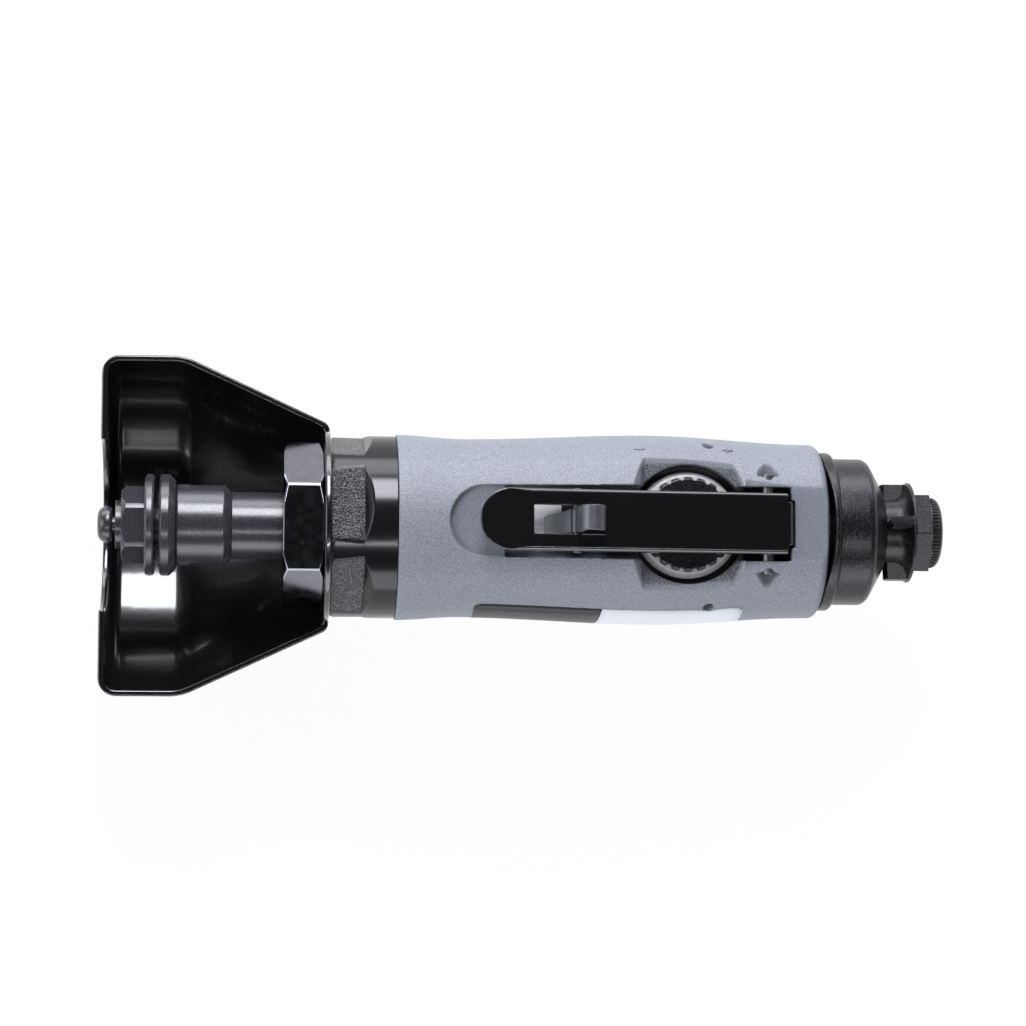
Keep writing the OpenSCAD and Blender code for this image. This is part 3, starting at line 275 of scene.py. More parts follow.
def turned_black_steel():
    """Black oxide on turned steel: a dark skin with a speckled sheen and faint lathe lines."""
    material, tree, place = start("turned_black_steel")
    along = add(tree, "ShaderNodeMapping", {"Vector": place, "Scale": (1, 0.05, 0.05)})
    lines = add(tree, "ShaderNodeTexNoise", {
        "Vector": along.outputs[0], "Scale": per_mm(0.45), "Detail": 2.0})
    speckle = add(tree, "ShaderNodeTexNoise", {"Vector": place, "Scale": per_mm(0.35), "Detail": 3.0})
    colour = add(tree, "ShaderNodeMix", {
        0: speckle.outputs["Fac"], 6: linear("#222226"), 7: linear("#38383d")}, data_type="RGBA")
    rough = add(tree, "ShaderNodeMapRange", {
        "Value": speckle.outputs["Fac"], "From Min": 0.3, "From Max": 0.7, "To Min": 0.2, "To Max": 0.32})
    height = add(tree, "ShaderNodeMix", {
        0: 0.6, 2: lines.outputs["Fac"], 3: speckle.outputs["Fac"]}, data_type="FLOAT")
    bump = add(tree, "ShaderNodeBump", {
        "Height": height.outputs[0], "Strength": 0.3, "Distance": 0.02 * MM})
    close(tree, {"Base Color": colour.outputs[2], "Roughness": rough.outputs[0], "IOR": 1.65,
                 "Normal": bump.outputs[0]})
    return material


def polished_black_steel():
    """Black oxide on ground steel: dark mirror flats with a little waviness."""
    material, tree, place = start("polished_black_steel")
    cloud = add(tree, "ShaderNodeTexNoise", {"Vector": place, "Scale": per_mm(3), "Detail": 3.0})
    colour = add(tree, "ShaderNodeMix", {
        0: cloud.outputs["Fac"], 6: linear("#74757c"), 7: linear("#8d8e95")}, data_type="RGBA")
    rough = add(tree, "ShaderNodeMapRange", {
        "Value": cloud.outputs["Fac"], "From Min": 0.3, "From Max": 0.7, "To Min": 0.12, "To Max": 0.2})
    bump = add(tree, "ShaderNodeBump", {
        "Height": cloud.outputs["Fac"], "Strength": 0.25, "Distance": 0.03 * MM})
    close(tree, {"Base Color": colour.outputs[2], "Metallic": 1.0, "Roughness": rough.outputs[0],
                 "Normal": bump.outputs[0]})
    return material


def collar_black_steel():
    """Black paint on an investment casting: the round is ground and glossy, and the flats keep the cast pebbles,
    whose tips carry painted grey glints."""
    material, tree, place = start("collar_black_steel")
    spot, radius = about_axis(tree, place)
    cast = add(tree, "ShaderNodeMapRange", {
        "Value": radius, "From Min": COLLAR_CAST * MM, "From Max": COLLAR_GROUND * MM,
        "To Min": 1.0, "To Max": 0.0})
    ahead = add(tree, "ShaderNodeMath", {0: spot["X"], 1: COLLAR_FLAT_END * MM}, operation="LESS_THAN")
    cast = add(tree, "ShaderNodeMath", {0: cast.outputs[0], 1: ahead.outputs[0]}, operation="MULTIPLY")
    pebble = add(tree, "ShaderNodeTexVoronoi", {"Vector": place, "Scale": per_mm(0.55)})
    grain = add(tree, "ShaderNodeTexNoise", {"Vector": place, "Scale": per_mm(0.3), "Detail": 3.0})
    paint = add(tree, "ShaderNodeMix", {
        0: grain.outputs["Fac"], 6: linear("#08080a"), 7: linear("#1c1c1f")}, data_type="RGBA")
    # Painted glints: the pebble tips on the cast flats are lightened to grey
    glint_tips = add(tree, "ShaderNodeMapRange", {
        "Value": grain.outputs["Fac"], "From Min": 0.52, "From Max": 0.6})
    painted_glints = add(tree, "ShaderNodeMath", {0: glint_tips.outputs[0], 1: cast.outputs[0]}, operation="MULTIPLY")
    colour = add(tree, "ShaderNodeMix", {
        0: painted_glints.outputs[0], 6: paint.outputs[2], 7: linear("#68696e")}, data_type="RGBA")
    rough = add(tree, "ShaderNodeMapRange", {"Value": cast.outputs[0], "To Min": 0.17, "To Max": 0.25})
    height = add(tree, "ShaderNodeMix", {
        0: 0.45, 2: pebble.outputs["Distance"], 3: grain.outputs["Fac"]}, data_type="FLOAT")
    height = add(tree, "ShaderNodeMath", {0: height.outputs[0], 1: cast.outputs[0]}, operation="MULTIPLY")
    bump = add(tree, "ShaderNodeBump", {
        "Height": height.outputs[0], "Strength": 1.0, "Distance": 0.32 * MM})
    close(tree, {"Base Color": colour.outputs[2], "Roughness": rough.outputs[0], "IOR": 1.45,
                 "Normal": bump.outputs[0]})
    return material


def sunk_facets(tree, spot, radius, upper):
    """1 on the sunk facets round the regulator, 0 elsewhere."""
    brim = add(tree, "ShaderNodeMapRange", {
        "Value": spot["X"], "From Min": SINK_TAPER * MM, "From Max": SINK_REAR * MM,
        "To Min": SINK_R * MM, "To Max": SINK_REAR_R * MM})
    depth = add(tree, "ShaderNodeMath", {0: brim.outputs[0], 1: radius}, operation="SUBTRACT")
    sunk = add(tree, "ShaderNodeMapRange", {"Value": depth.outputs[0], "From Max": SINK_DEPTH * MM})
    for edge, fade in ((SINK_FRONT, SINK_FADE), (SINK_REAR, -SINK_FADE)):
        inside = add(tree, "ShaderNodeMapRange", {
            "Value": spot["X"], "From Min": (edge - fade) * MM, "From Max": (edge + fade) * MM})
        sunk = add(tree, "ShaderNodeMath", {0: sunk.outputs[0], 1: inside.outputs[0]}, operation="MULTIPLY")
    return add(tree, "ShaderNodeMath", {0: sunk.outputs[0], 1: upper}, operation="MULTIPLY").outputs[0]


def painted_recess_shade(tree, place, spot, radius, upper):
    """1 where painted shade blackens the deep recesses, 0 elsewhere: deep under the lever, more so to the rear, and
    in the regulator's well.
    """
    deep = add(tree, "ShaderNodeMapRange", {
        "Value": radius, "From Min": DEEP_IN * MM, "From Max": DEEP_OUT * MM, "To Min": 1.0, "To Max": 0.0})
    rearward = add(tree, "ShaderNodeMapRange", {
        "Value": spot["X"], "From Min": RECESS_SHADE_START * MM, "From Max": RECESS_SHADE_FULL * MM})
    deep = add(tree, "ShaderNodeMath", {0: deep.outputs[0], 1: rearward.outputs[0]}, operation="MULTIPLY")
    around = add(tree, "ShaderNodeVectorMath", {0: place, 1: (-WELL_X * MM, 0, 0)})
    around = add(tree, "ShaderNodeVectorMath", {0: around.outputs[0], 1: (1, 1, 0)}, operation="MULTIPLY")
    around = add(tree, "ShaderNodeVectorMath", {0: around.outputs[0]}, operation="LENGTH")
    well = add(tree, "ShaderNodeMath", {0: around.outputs["Value"], 1: WELL_R * MM}, operation="LESS_THAN")
    well = add(tree, "ShaderNodeMath", {0: well.outputs[0], 1: upper}, operation="MULTIPLY")
    return add(tree, "ShaderNodeMath", {
        0: deep.outputs[0], 1: well.outputs[0]}, operation="MAXIMUM").outputs[0]


def grey_composite():
    """Glass-filled nylon, moulded in a spark-eroded tool: matt blue grey with a fine sparkle of grain. Painted
    shade makes it a little darker where the mould stands in and in its creases, and black in the deep recesses; it
    is coarse and dark on the sunk facets round the regulator."""
    material, tree, place = start("grey_composite")
    spot, radius = about_axis(tree, place)
    upper = add(tree, "ShaderNodeMath", {0: spot["Z"], 1: TOP_SIDE * MM}, operation="GREATER_THAN").outputs[0]
    sunk = sunk_facets(tree, spot, radius, upper)
    recess_shade = painted_recess_shade(tree, place, spot, radius, upper)
    grain = add(tree, "ShaderNodeTexNoise", {"Vector": place, "Scale": per_mm(0.32), "Detail": 3.0})
    cloud = add(tree, "ShaderNodeTexNoise", {"Vector": place, "Scale": per_mm(9), "Detail": 3.0})

    base = add(tree, "ShaderNodeMix", {
        0: cloud.outputs["Fac"], 6: linear("#666a72"), 7: linear("#6f737b")}, data_type="RGBA")
    sparkle = add(tree, "ShaderNodeMapRange", {
        "Value": grain.outputs["Fac"], "From Min": 0.36, "From Max": 0.7, "To Min": 0.0, "To Max": 0.75})
    smooth = add(tree, "ShaderNodeMix", {
        0: sparkle.outputs[0], 6: base.outputs[2], 7: linear("#9a9ea7")}, data_type="RGBA")
    # Painted shade: a little darker where the mould stands in, below the outer surface
    shade = add(tree, "ShaderNodeMapRange", {
        "Value": radius, "From Min": PRESSED_IN * MM, "From Max": PRESSED_OUT * MM,
        "To Min": 0.45, "To Max": 0.0})
    smooth = add(tree, "ShaderNodeMix", {
        0: shade.outputs[0], 6: smooth.outputs[2], 7: linear("#5e626a")}, data_type="RGBA")
    contrast = add(tree, "ShaderNodeMapRange", {
        "Value": grain.outputs["Fac"], "From Min": 0.38, "From Max": 0.66})
    coarse = add(tree, "ShaderNodeMix", {
        0: contrast.outputs[0], 6: linear("#2e2f33"), 7: linear("#808288")}, data_type="RGBA")
    colour = add(tree, "ShaderNodeMix", {0: sunk, 6: smooth.outputs[2], 7: coarse.outputs[2]}, data_type="RGBA")
    # Painted shade: near black in the deep recesses under the lever and in the regulator's well
    colour = add(tree, "ShaderNodeMix", {0: recess_shade, 6: colour.outputs[2], 7: linear("#121316")}, data_type="RGBA")
    # Painted shade in the creases: nearby surfaces of the housing itself darken its colour
    nook = add(tree, "ShaderNodeAmbientOcclusion", {"Distance": NOOK_REACH * MM}, samples=6, only_local=True)
    crease_shade = add(tree, "ShaderNodeMapRange", {
        "Value": nook.outputs["AO"], "From Min": 0.45, "From Max": 0.95, "To Min": 0.35, "To Max": 1.0})
    colour = add(tree, "ShaderNodeMix", {
        0: 1.0, 6: colour.outputs[2], 7: crease_shade.outputs[0]}, data_type="RGBA", blend_type="MULTIPLY")

    lift = add(tree, "ShaderNodeMapRange", {"Value": sunk, "To Min": 0.4, "To Max": 0.8})
    bump = add(tree, "ShaderNodeBump", {
        "Height": grain.outputs["Fac"], "Strength": lift.outputs[0], "Distance": 0.06 * MM})
    close(tree, {"Base Color": colour.outputs[2], "Roughness": 0.5, "IOR": 1.5, "Normal": bump.outputs[0]})
    return material


def moulded_black_plastic():
    """Black nylon, moulded in a finely eroded tool: satin black with a fine sparkle of grain."""
    material, tree, place = start("moulded_black_plastic")
    grain = add(tree, "ShaderNodeTexNoise", {"Vector": place, "Scale": per_mm(0.32), "Detail": 3.0})
    sparkle = add(tree, "ShaderNodeMapRange", {
        "Value": grain.outputs["Fac"], "From Min": 0.54, "From Max": 0.68})
    colour = add(tree, "ShaderNodeMix", {
        0: sparkle.outputs[0], 6: linear("#08080a"), 7: linear("#45474c")}, data_type="RGBA")
    bump = add(tree, "ShaderNodeBump", {
        "Height": grain.outputs["Fac"], "Strength": 0.6, "Distance": 0.05 * MM})
    close(tree, {"Base Color": colour.outputs[2], "Roughness": 0.31, "IOR": 1.46, "Normal": bump.outputs[0]})
    return material


def metal(name, dark, light, grain_mm, roughness, bump_mm=0.01, bare=1.0):
    """A plain worked metal: two tones of its own colour, and a grain that also breaks up the gloss; less bare
    where a matt coat covers it."""
    material, tree, place = start(name)
    grain = add(tree, "ShaderNodeTexNoise", {"Vector": place, "Scale": per_mm(grain_mm), "Detail": 4.0})
    colour = add(tree, "ShaderNodeMix", {
        0: grain.outputs["Fac"], 6: linear(dark), 7: linear(light)}, data_type="RGBA")
    rough = add(tree, "ShaderNodeMapRange", {
        "Value": grain.outputs["Fac"], "From Min": 0.3, "From Max": 0.7,
        "To Min": roughness * 0.75, "To Max": roughness * 1.25})
    bump = add(tree, "ShaderNodeBump", {
        "Height": grain.outputs["Fac"], "Strength": 0.5, "Distance": bump_mm * MM})
    close(tree, {"Base Color": colour.outputs[2], "Metallic": bare, "Roughness": rough.outputs[0],
                 "Normal": bump.outputs[0]})
    return material


def soft_material(name, dark, light, grain_mm, roughness, bump_mm):
    """A plain matt material: two tones, and a grain that lifts the surface."""
    material, tree, place = start(name)
    grain = add(tree, "ShaderNodeTexNoise", {"Vector": place, "Scale": per_mm(grain_mm), "Detail": 4.0})
    colour = add(tree, "ShaderNodeMix", {
        0: grain.outputs["Fac"], 6: linear(dark), 7: linear(light)}, data_type="RGBA")
    bump = add(tree, "ShaderNodeBump", {
        "Height": grain.outputs["Fac"], "Strength": 0.6, "Distance": bump_mm * MM})
    close(tree, {"Base Color": colour.outputs[2], "Roughness": roughness, "Normal": bump.outputs[0]})
    return material


enamel = gloss_black_enamel()
turned_steel = turned_black_steel()
polished_steel = polished_black_steel()
collar_steel = collar_black_steel()
composite = grey_composite()
plastic = moulded_black_plastic()
# Dull grey with open pores
sintered_steel = metal("sintered_grey_steel", "#4b4d50", "#787a7e", 0.4, 0.42, 0.02, 0.7)
# Pale and milky, with hardly any mirror left
zinc = metal("zinc_plated_steel", "#d2d3d5", "#ffffff", 0.4, 0.5, 0.05, 0.1)
silver_washer = metal("rolled_silver_steel", "#d4d5d7", "#fcfcfc", 1.2, 0.42, 0.04, 0.25)
# Clean cut metals: bright, grey and yellow
bright_steel = metal("ground_bright_steel", "#a8a9ab", "#dcdcdd", 0.5, 0.3)
iron = metal("machined_grey_iron", "#6a6c6e", "#8d8f91", 0.4, 0.4)
brass = metal("machined_brass", "#b08d45", "#d9b968", 0.5, 0.28)
# Brown resin and cloth, dull black, and woolly grey
vane = soft_material("pressed_vane_composite", "#4a3524", "#6b4d33", 0.3, 0.6, 0.02)
rubber = soft_material("moulded_black_rubber", "#0b0b0c", "#1a1a1b", 0.3, 0.6, 0.02)
felt = soft_material("pressed_grey_felt", "#5d5d5c", "#8c8c8a", 0.35, 0.95, 0.15)
# The housing's plastic in the shade, and two even satin films
mark_plastic = soft_material("shaded_grey_plastic", "#6a6c74", "#777982", 0.3, 0.6, 0.02)
dark_film = soft_material("printed_dark_film", "#15171d", "#1b1e25", 1.5, 0.4, 0.01)
white_film = soft_material("printed_white_film", "#d3d5da", "#dbdde2", 1.5, 0.4, 0.01)


# Pieces

WELD = 0.002
FLAT_ANGLE = radians(0.3)
NARROW_ANGLE = radians(12)


def place_piece(name, bm, body, slot, material, *nodes):
    """Makes a mesh object of bm that rides on a body and, where named, stands for CAD nodes."""
    mesh = bpy.data.meshes.new(name)
    bm.to_mesh(mesh)
    bm.free()
    mesh.shade_smooth()
    mesh.materials.append(material)
    piece = bpy.data.objects.new(name, mesh)
    scene.collection.objects.link(piece)
    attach(piece, body)
    if nodes:
        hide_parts(*nodes)
    return piece


def face_out(bm, sample, way):
    """Turns all faces to one side, so that the sample face looks the given way."""
    bmesh.ops.recalc_face_normals(bm, faces=bm.faces)
    if sample.normal.dot(Vector(way)) < 0:
        bmesh.ops.reverse_faces(bm, faces=bm.faces)


def thicken(piece, sheet, even=True):
    """Gives a sheet its thickness, inwards from the modelled side."""
    wall = piece.modifiers.new("sheet", "SOLIDIFY")
    wall.thickness = sheet * MM
    wall.offset = -1
    wall.use_even_offset = even


def round_edges(piece, width, segments=3, angle=32):
    """Breaks a piece's sharp edges, and keeps its flats flat to the light."""
    bevel = piece.modifiers.new("edge_break", "BEVEL")
    bevel.width = width * MM
    bevel.segments = segments
    bevel.limit_method = "ANGLE"
    bevel.angle_limit = radians(angle)
    bevel.use_clamp_overlap = False
    bevel.miter_outer = "MITER_ARC"
    piece.modifiers.new("flat_normals", "WEIGHTED_NORMAL").weight = 80


def settle(piece):
    """Makes the result of a piece's modifiers its own mesh."""
    mesh = bpy.data.meshes.new_from_object(piece.evaluated_get(bpy.context.evaluated_depsgraph_get()))
    piece.modifiers.clear()
    piece.data = mesh


def true_round(piece):
    """Turns the shading of narrow round faces straight out from the spindle's axis, against streaks."""
    settle(piece)
    mesh = piece.data
    shading = [Vector(normal.vector) for normal in mesh.corner_normals]
    for face in mesh.polygons:
        outward = [Vector((0, *mesh.vertices[i].co.yz)).normalized() for i in face.vertices]
        if min(outward[0].dot(other) for other in outward) > cos(NARROW_ANGLE):
            for corner, out in zip(face.loop_indices, outward):
                aside = Vector((1, 0, 0)).cross(out)
                shading[corner] = (shading[corner] - aside * shading[corner].dot(aside)).normalized()
    mesh.normals_split_custom_set(shading)


def joined(node):
    """A bmesh copy of a CAD node with its loose triangles joined."""
    bm = bmesh.new()
    bm.from_mesh(frame["nodes"][node].data)
    bmesh.ops.remove_doubles(bm, verts=bm.verts, dist=WELD * MM)
    return bm


def merged(node):
    """A joined copy with its flats made whole."""
    bm = joined(node)
    bmesh.ops.dissolve_limit(bm, angle_limit=FLAT_ANGLE, verts=bm.verts, edges=bm.edges)
    return bm


record = frame["record"]
body_of = {node: body for body, nodes in record["behaviour"]["bodies"].items() for node in nodes}
slot_of = {part["node"]: part["material_slot"] for part in record["subparts"]}

# CAD nodes that show, with the finish and the edge break in millimetres of the copy that stands for each
SHOWN = {
    "lock_screw": (turned_steel, 0.15), "clamp_nut": (turned_steel, 0.12),
    "outer_flange": (turned_steel, 0.08), "inner_flange": (turned_steel, 0.08),
    "arbor": (turned_steel, 0.2), "spindle": (turned_steel, 0.15),
    "guard_nut": (polished_steel, 0.3), "nose_collar": (collar_steel, 0.3),
    "stop_plate": (zinc, 0.15), "safety_latch": (sintered_steel, 0.2),
    "latch_pin": (iron, 0.1), "lever_pin": (iron, 0.15),
    "regulator_knob": (plastic, 0.2), "regulator_washer": (silver_washer, 0.12),
    "regulator_pin": (turned_steel, 0.12), "rear_gasket": (rubber, 0.1),
    "exhaust_ring": (plastic, 0.3), "exhaust_deflector": (plastic, 0.3),
    "inlet_bushing": (plastic, 0.15), "transport_plug": (plastic, 0.06),
}
# Those of them that are smooth and round about the spindle's axis
TURNED = ("lock_screw", "clamp_nut", "outer_flange", "inner_flange", "arbor", "spindle", "guard_nut",
          "nose_collar", "rear_gasket", "exhaust_ring", "exhaust_deflector", "inlet_bushing")
# CAD nodes that have a section of their own below
REMADE = ("guard", "housing", "throttle_lever", "valve_spring")
# CAD nodes inside the tool keep their own meshes, and are of bright steel where they aren't named here
HIDDEN = {
    "spindle_seal": felt, "exhaust_silencer": felt, "valve_seal": rubber,
    "front_end_plate": iron, "cylinder_liner": iron, "rotor": iron, "rear_end_plate": iron,
    "rotor_vanes": vane, "valve_bush": brass, "valve_stem": brass, "bearing_circlip": turned_steel,
}
for node, solid in frame["nodes"].items():
    if node in SHOWN:
        finish, width = SHOWN[node]
        piece = place_piece(node + "_finished", merged(node), body_of[node], slot_of[node], finish, node)
        round_edges(piece, width)
        if node in TURNED:
            true_round(piece)
    elif node not in REMADE:
        solid.data.materials.clear()
        solid.data.materials.append(HIDDEN.get(node, bright_steel))


# Guard: one pressed sheet, a half bell below the spindle and a whole back plate

GUARD_SHEET, GUARD_EDGE = 1.5, 0.45
GUARD_FRONT, GUARD_BAND, GUARD_BACK = -14.7, 5.6, 41.55
NOTCH_R, RIM_R, BACK_R, PLATE_R, HOLE_R = 21, 42.1, 25.5, 23.5, 12.05
# How far each bend reaches along the sheet, by its corner in the outline
GUARD_BENDS = {1: 4.5, 2: 2.6, 3: 1.6}
GUARD_BEND_STEPS, GUARD_STEPS = 7, 72
GUARD_WELD = 0.01
PRESSED_ANGLE = 50


def pressed_guard():
    """Half a turn of the bell's outline, closed by the upper half of the back plate."""
    bm = bmesh.new()
    outline = ((GUARD_FRONT, NOTCH_R), (GUARD_FRONT, RIM_R), (GUARD_BAND, RIM_R),
               (GUARD_BACK, BACK_R), (GUARD_BACK, HOLE_R))
    verts = [bm.verts.new((x * MM, r * MM, 0)) for x, r in outline]
    for pair in zip(verts, verts[1:]):
        bm.edges.new(pair)
    for corner, reach in GUARD_BENDS.items():
        bmesh.ops.bevel(bm, geom=[verts[corner]], offset=reach * MM, offset_type="OFFSET",
                        affect="VERTICES", segments=GUARD_BEND_STEPS, profile=0.5, material=-1)
    back_radii = sorted(v.co.y for v in bm.verts if abs(v.co.x - GUARD_BACK * MM) < WELD * MM)
    bmesh.ops.spin(bm, geom=bm.verts[:] + bm.edges[:], cent=(0, 0, 0), axis=(1, 0, 0),
                   angle=-pi, steps=GUARD_STEPS)
    upper = [bm.verts.new((GUARD_BACK * MM, r, 0)) for r in back_radii[:-1] + [PLATE_R * MM]]
    strip = [bm.edges.new(pair) for pair in zip(upper, upper[1:])]
    bmesh.ops.spin(bm, geom=upper + strip, cent=(0, 0, 0), axis=(1, 0, 0), angle=pi, steps=GUARD_STEPS)
    bmesh.ops.remove_doubles(bm, verts=bm.verts, dist=GUARD_WELD * MM)
    face_out(bm, min(bm.faces, key=lambda f: f.calc_center_median().z), (0, 0, -1))
    guard = place_piece("guard_pressing", bm, "guard", "black_enamel", enamel, "guard")
    thicken(guard, GUARD_SHEET)
    round_edges(guard, GUARD_EDGE, angle=PRESSED_ANGLE)


pressed_guard()


# Lever: one pressed sheet, a flat round tongue that runs into a channel, with a slot and a flap at the back. It is
# modelled level, in millimetres, and then raised about its pin.

PIVOT = Vector((148.1, 0, 17.5))
LEVER_RISE = radians(4.5)
LEVER_TIP, LEVER_END, LEVER_TOP = 76.4, 152.1, 22
LEVER_SHEET, LEVER_EDGE = 1.5, 0.2
TONGUE_R, TONGUE_STEPS = 7.5, 64
TONGUE_MIDDLE = LEVER_TIP + TONGUE_R
SLOT_FRONT, SLOT_REAR, SLOT_HALF = 89.4, 106.7, 3.45
FLAP_HALF, FLAP_R, FLAP_FOOT = 5.25, 1.5, 14.6
# The bend's radius and the height of the lower edge, along the lever
BEND = ((83.6, 0.3), (85.2, 0.5), (87.4, 0.9), (89, 1.1))
EDGE = ((84.2, 20.5), (85, 20.2), (86.2, 18.6), (87.4, 17.3), (112.5, 17.3), (114.5, 18.4), (142.7, 18.4),
        (144.7, FLAP_FOOT))
BEND_STEPS = 6
NEAR, LEVER_WELD = 0.01, 0.001


def between(table, x):
    """The value at x on a line through the table's points, level beyond its ends."""
    if x <= table[0][0]:
        return table[0][1]
    for (x0, y0), (x1, y1) in zip(table, table[1:]):
        if x <= x1:
            return y0 + (y1 - y0) * (x - x0) / (x1 - x0)
    return table[-1][1]


def in_slot(place):
    """Whether a place is in the lever's slot or on its edge."""
    return abs(place.y) <= SLOT_HALF + NEAR and SLOT_FRONT - NEAR <= place.x <= SLOT_REAR + NEAR


def lever_blank():
    """The flat sheet: a half round at the tip, straight sides with a point at each station, and the slot."""
    bm = bmesh.new()
    bmesh.ops.create_circle(bm, cap_ends=False, radius=TONGUE_R, segments=TONGUE_STEPS,
                            matrix=Matrix.Translation((TONGUE_MIDDLE, 0, LEVER_TOP)))
    bmesh.ops.delete(bm, geom=[v for v in bm.verts if v.co.x > TONGUE_MIDDLE + NEAR], context="VERTS")
    ends = sorted((v for v in bm.verts if len(v.link_edges) == 1), key=lambda v: v.co.y)
    for x in sorted({x for x, _ in BEND + EDGE if x > TONGUE_MIDDLE} | {LEVER_END}):
        ends = [v for end in ends for v in bmesh.ops.extrude_vert_indiv(bm, verts=[end])["verts"]]
        for v in ends:
            v.co.x = x
    left, right = ends
    for y in (-FLAP_HALF, FLAP_HALF):
        left = bmesh.ops.extrude_vert_indiv(bm, verts=[left])["verts"][0]
        left.co.y = y
    bm.edges.new((left, right))
    bmesh.ops.contextual_create(bm, geom=bm.edges[:])
    for spot, way in (((SLOT_FRONT, 0, 0), (1, 0, 0)), ((SLOT_REAR, 0, 0), (1, 0, 0)),
                      ((0, SLOT_HALF, 0), (0, 1, 0)), ((0, -SLOT_HALF, 0), (0, 1, 0))):
        bmesh.ops.bisect_plane(bm, geom=bm.verts[:] + bm.edges[:] + bm.faces[:],
                               plane_co=spot, plane_no=way)
    hole = [f for f in bm.faces if in_slot(f.calc_center_median())]
    bmesh.ops.delete(bm, geom=hole, context="FACES_ONLY")
    return bm


def fold(bm, edges, folds):
    """Folds edges of a sheet down round a bend and straight on to a lower edge. For each vertex of the edges,
    folds gives the bend's start, the way out, the bend's radius and the height of the lower edge."""
    for step in range(1, BEND_STEPS + 2):
        made = bmesh.ops.extrude_edge_only(bm, edges=edges)["geom"]
        edges = [e for e in made if isinstance(e, bmesh.types.BMEdge)]
        turn = min(step, BEND_STEPS) * pi / 2 / BEND_STEPS
        moved = {}
        for v in (v for v in made if isinstance(v, bmesh.types.BMVert)):
            old = next(o for e in v.link_edges for o in [e.other_vert(v)] if o in folds)
            bend_start, out, r, foot = moved[v] = folds[old]
            v.co = bend_start + out * r * sin(turn)
            v.co.z = LEVER_TOP - r * (1 - cos(turn)) if step <= BEND_STEPS else foot
        folds = moved


def pressed_lever():
    """The blank with its sides and its flap folded down."""
    bm = lever_blank()
    rim = [e for e in bm.edges if e.is_boundary and not in_slot((e.verts[0].co + e.verts[1].co) / 2)]
    rear = [e for e in rim if all(abs(v.co.x - LEVER_END) < NEAR for v in e.verts)]
    sides = [e for e in rim if e not in rear]
    flap = [e for e in rear if all(abs(v.co.y) < FLAP_HALF + NEAR for v in e.verts)]
    side_folds = {}
    for v in {v for e in sides for v in e.verts}:
        out = Vector((min(v.co.x - TONGUE_MIDDLE, 0), v.co.y, 0)).normalized()
        r, foot = between(BEND, v.co.x), between(EDGE, v.co.x)
        v.co = v.co - out * r
        side_folds[v] = (v.co.copy(), out, r, foot)
    fold(bm, sides, side_folds)
    fold(bm, flap, {v: (v.co.copy(), Vector((1, 0, 0)), FLAP_R, FLAP_FOOT) for e in flap for v in e.verts})
    bmesh.ops.remove_doubles(bm, verts=bm.verts, dist=LEVER_WELD)
    face_out(bm, max(bm.faces, key=lambda f: f.calc_area()), (0, 0, 1))
    bmesh.ops.transform(bm, verts=bm.verts, matrix=Matrix.Scale(MM, 4) @ Matrix.Translation(PIVOT)
                        @ Matrix.Rotation(LEVER_RISE, 4, "Y") @ Matrix.Translation(-PIVOT))
    lever = place_piece("lever_pressing", bm, "lever", "black_enamel", enamel, "throttle_lever")
    thicken(lever, LEVER_SHEET)
    round_edges(lever, LEVER_EDGE, segments=2, angle=PRESSED_ANGLE)


pressed_lever()


# Housing: the solid with the soft edges of a moulding

HOUSING_SKIN, HOUSING_KEPT_SHARE = 0.24, 0.14


def moulded_housing():
    """The solid in a fine skin of even faces, smoothed, and thinned to a share of them."""
    housing = place_piece("housing_moulding", joined("housing"), "tool", slot_of["housing"], composite,
                          "housing")
    skin = housing.modifiers.new("skin", "REMESH")
    skin.mode = "VOXEL"
    skin.voxel_size = HOUSING_SKIN * MM
    soft = housing.modifiers.new("soft_edges", "SMOOTH")
    soft.factor = 0.5
    soft.iterations = 2
    housing.modifiers.new("thinned", "DECIMATE").ratio = HOUSING_KEPT_SHARE
    settle(housing)
    housing.data.shade_smooth()


moulded_housing()


# Valve spring: a joined copy with a mesh of its own; the real spring shortens as the valve opens

spring = place_piece("valve_spring_wound", joined("valve_spring"), body_of["valve_spring"],
                     slot_of["valve_spring"], bright_steel, "valve_spring")
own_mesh(spring)


# Blank plates low on the near side: their edges along the tool, and the angles of their upper and lower edge

PLATE_FRONT, PLATE_SPLIT, PLATE_REAR = 76.7, 108.1, 143.1
PLATE_TOP, PLATE_FOOT = -62, -116
PLATE_SLANT, PLATE_CORNER = -1.4, 2
# The radius at which a plate's height is measured, and the one from which it is laid on the housing
PLATE_FACE_R, PLATE_LAID_R = 23, 24
PLATE_COLUMNS, PLATE_ROWS, PLATE_CORNER_STEPS = 12, 6, 4
FILM = 0.15


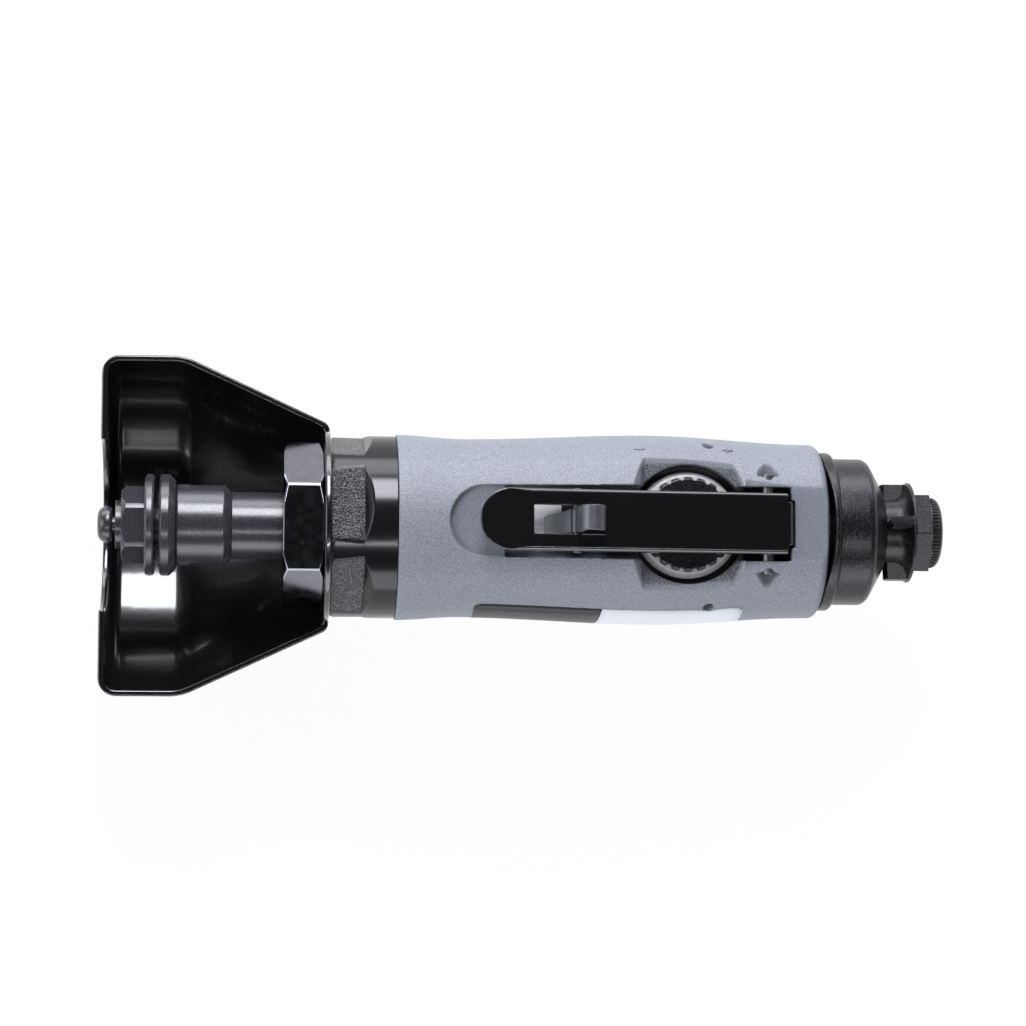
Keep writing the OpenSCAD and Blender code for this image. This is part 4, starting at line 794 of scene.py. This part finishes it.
def blank_plate(name, front, rear, slants, round_end, slot, finish):
    """A film plate laid round the housing; slants lean its front and rear edge, and one end has round corners."""
    bm = bmesh.new()
    bmesh.ops.create_grid(bm, x_segments=PLATE_COLUMNS, y_segments=PLATE_ROWS, size=0.5)
    length, height = rear - front, radians(PLATE_TOP - PLATE_FOOT) * PLATE_FACE_R
    bmesh.ops.translate(bm, verts=bm.verts, vec=(0.5, 0.5, 0))
    bmesh.ops.scale(bm, verts=bm.verts, vec=(length, height, 1))
    corners = [v for v in bm.verts
               if len(v.link_edges) == 2 and (v.co.x < length / 2) == (round_end == "front")]
    bmesh.ops.bevel(bm, geom=corners, offset=PLATE_CORNER, offset_type="OFFSET", affect="VERTICES",
                    segments=PLATE_CORNER_STEPS, profile=0.5, material=-1)
    for v in bm.verts:
        down = 1 - v.co.y / height
        lean = slants[0] + (slants[1] - slants[0]) * v.co.x / length
        turn = radians(PLATE_TOP + (PLATE_FOOT - PLATE_TOP) * down)
        v.co = Vector((front + v.co.x + lean * down, PLATE_LAID_R * sin(turn), PLATE_LAID_R * cos(turn))) * MM
    face_out(bm, next(iter(bm.faces)), (0, -1, 0))
    plate = place_piece(name, bm, "tool", slot, finish)
    wrap = plate.modifiers.new("wrap", "SHRINKWRAP")
    wrap.target = frame["nodes"]["housing"]
    wrap.wrap_mode = "ABOVE_SURFACE"
    wrap.offset = FILM * MM
    thicken(plate, FILM, even=False)
    settle(plate)
    plate.data.shade_smooth()


blank_plate("dark_plate", PLATE_FRONT, PLATE_SPLIT, (0, PLATE_SLANT), "front", "black_plastic", dark_film)
blank_plate("white_plate", PLATE_SPLIT, PLATE_REAR, (PLATE_SLANT, 0), "rear", "grey_composite", white_film)


# Turning marks at the regulator: each mark's place, its lean in degrees and its number of bars

MARK_LONG, MARK_SHORT, MARK_WIDE, MARK_EDGE = 2.6, 2.0, 0.4, 0.1
MARKS = {"less_mark": ((116.9, 18.45, 14.5), 51.8, 1), "more_mark": ((138.9, 18.65, 13.1), 54.9, 2)}


def raised_mark(name, place, lean, bars):
    """A bar or a cross of two bars that stands a little proud of the moulding."""
    bm = bmesh.new()
    for length, width in ((MARK_LONG, MARK_WIDE), (MARK_WIDE, MARK_SHORT))[:bars]:
        made = bmesh.ops.create_cube(bm, size=MM)
        bmesh.ops.scale(bm, verts=made["verts"], vec=(length, width, MARK_WIDE))
    bmesh.ops.transform(bm, verts=bm.verts, matrix=Matrix.Translation(Vector(place) * MM)
                        @ Matrix.Rotation(-radians(lean), 4, "X"))
    round_edges(place_piece(name, bm, "tool", slot_of["housing"], mark_plastic), MARK_EDGE)


for name, measures in MARKS.items():
    raised_mark(name, *measures)
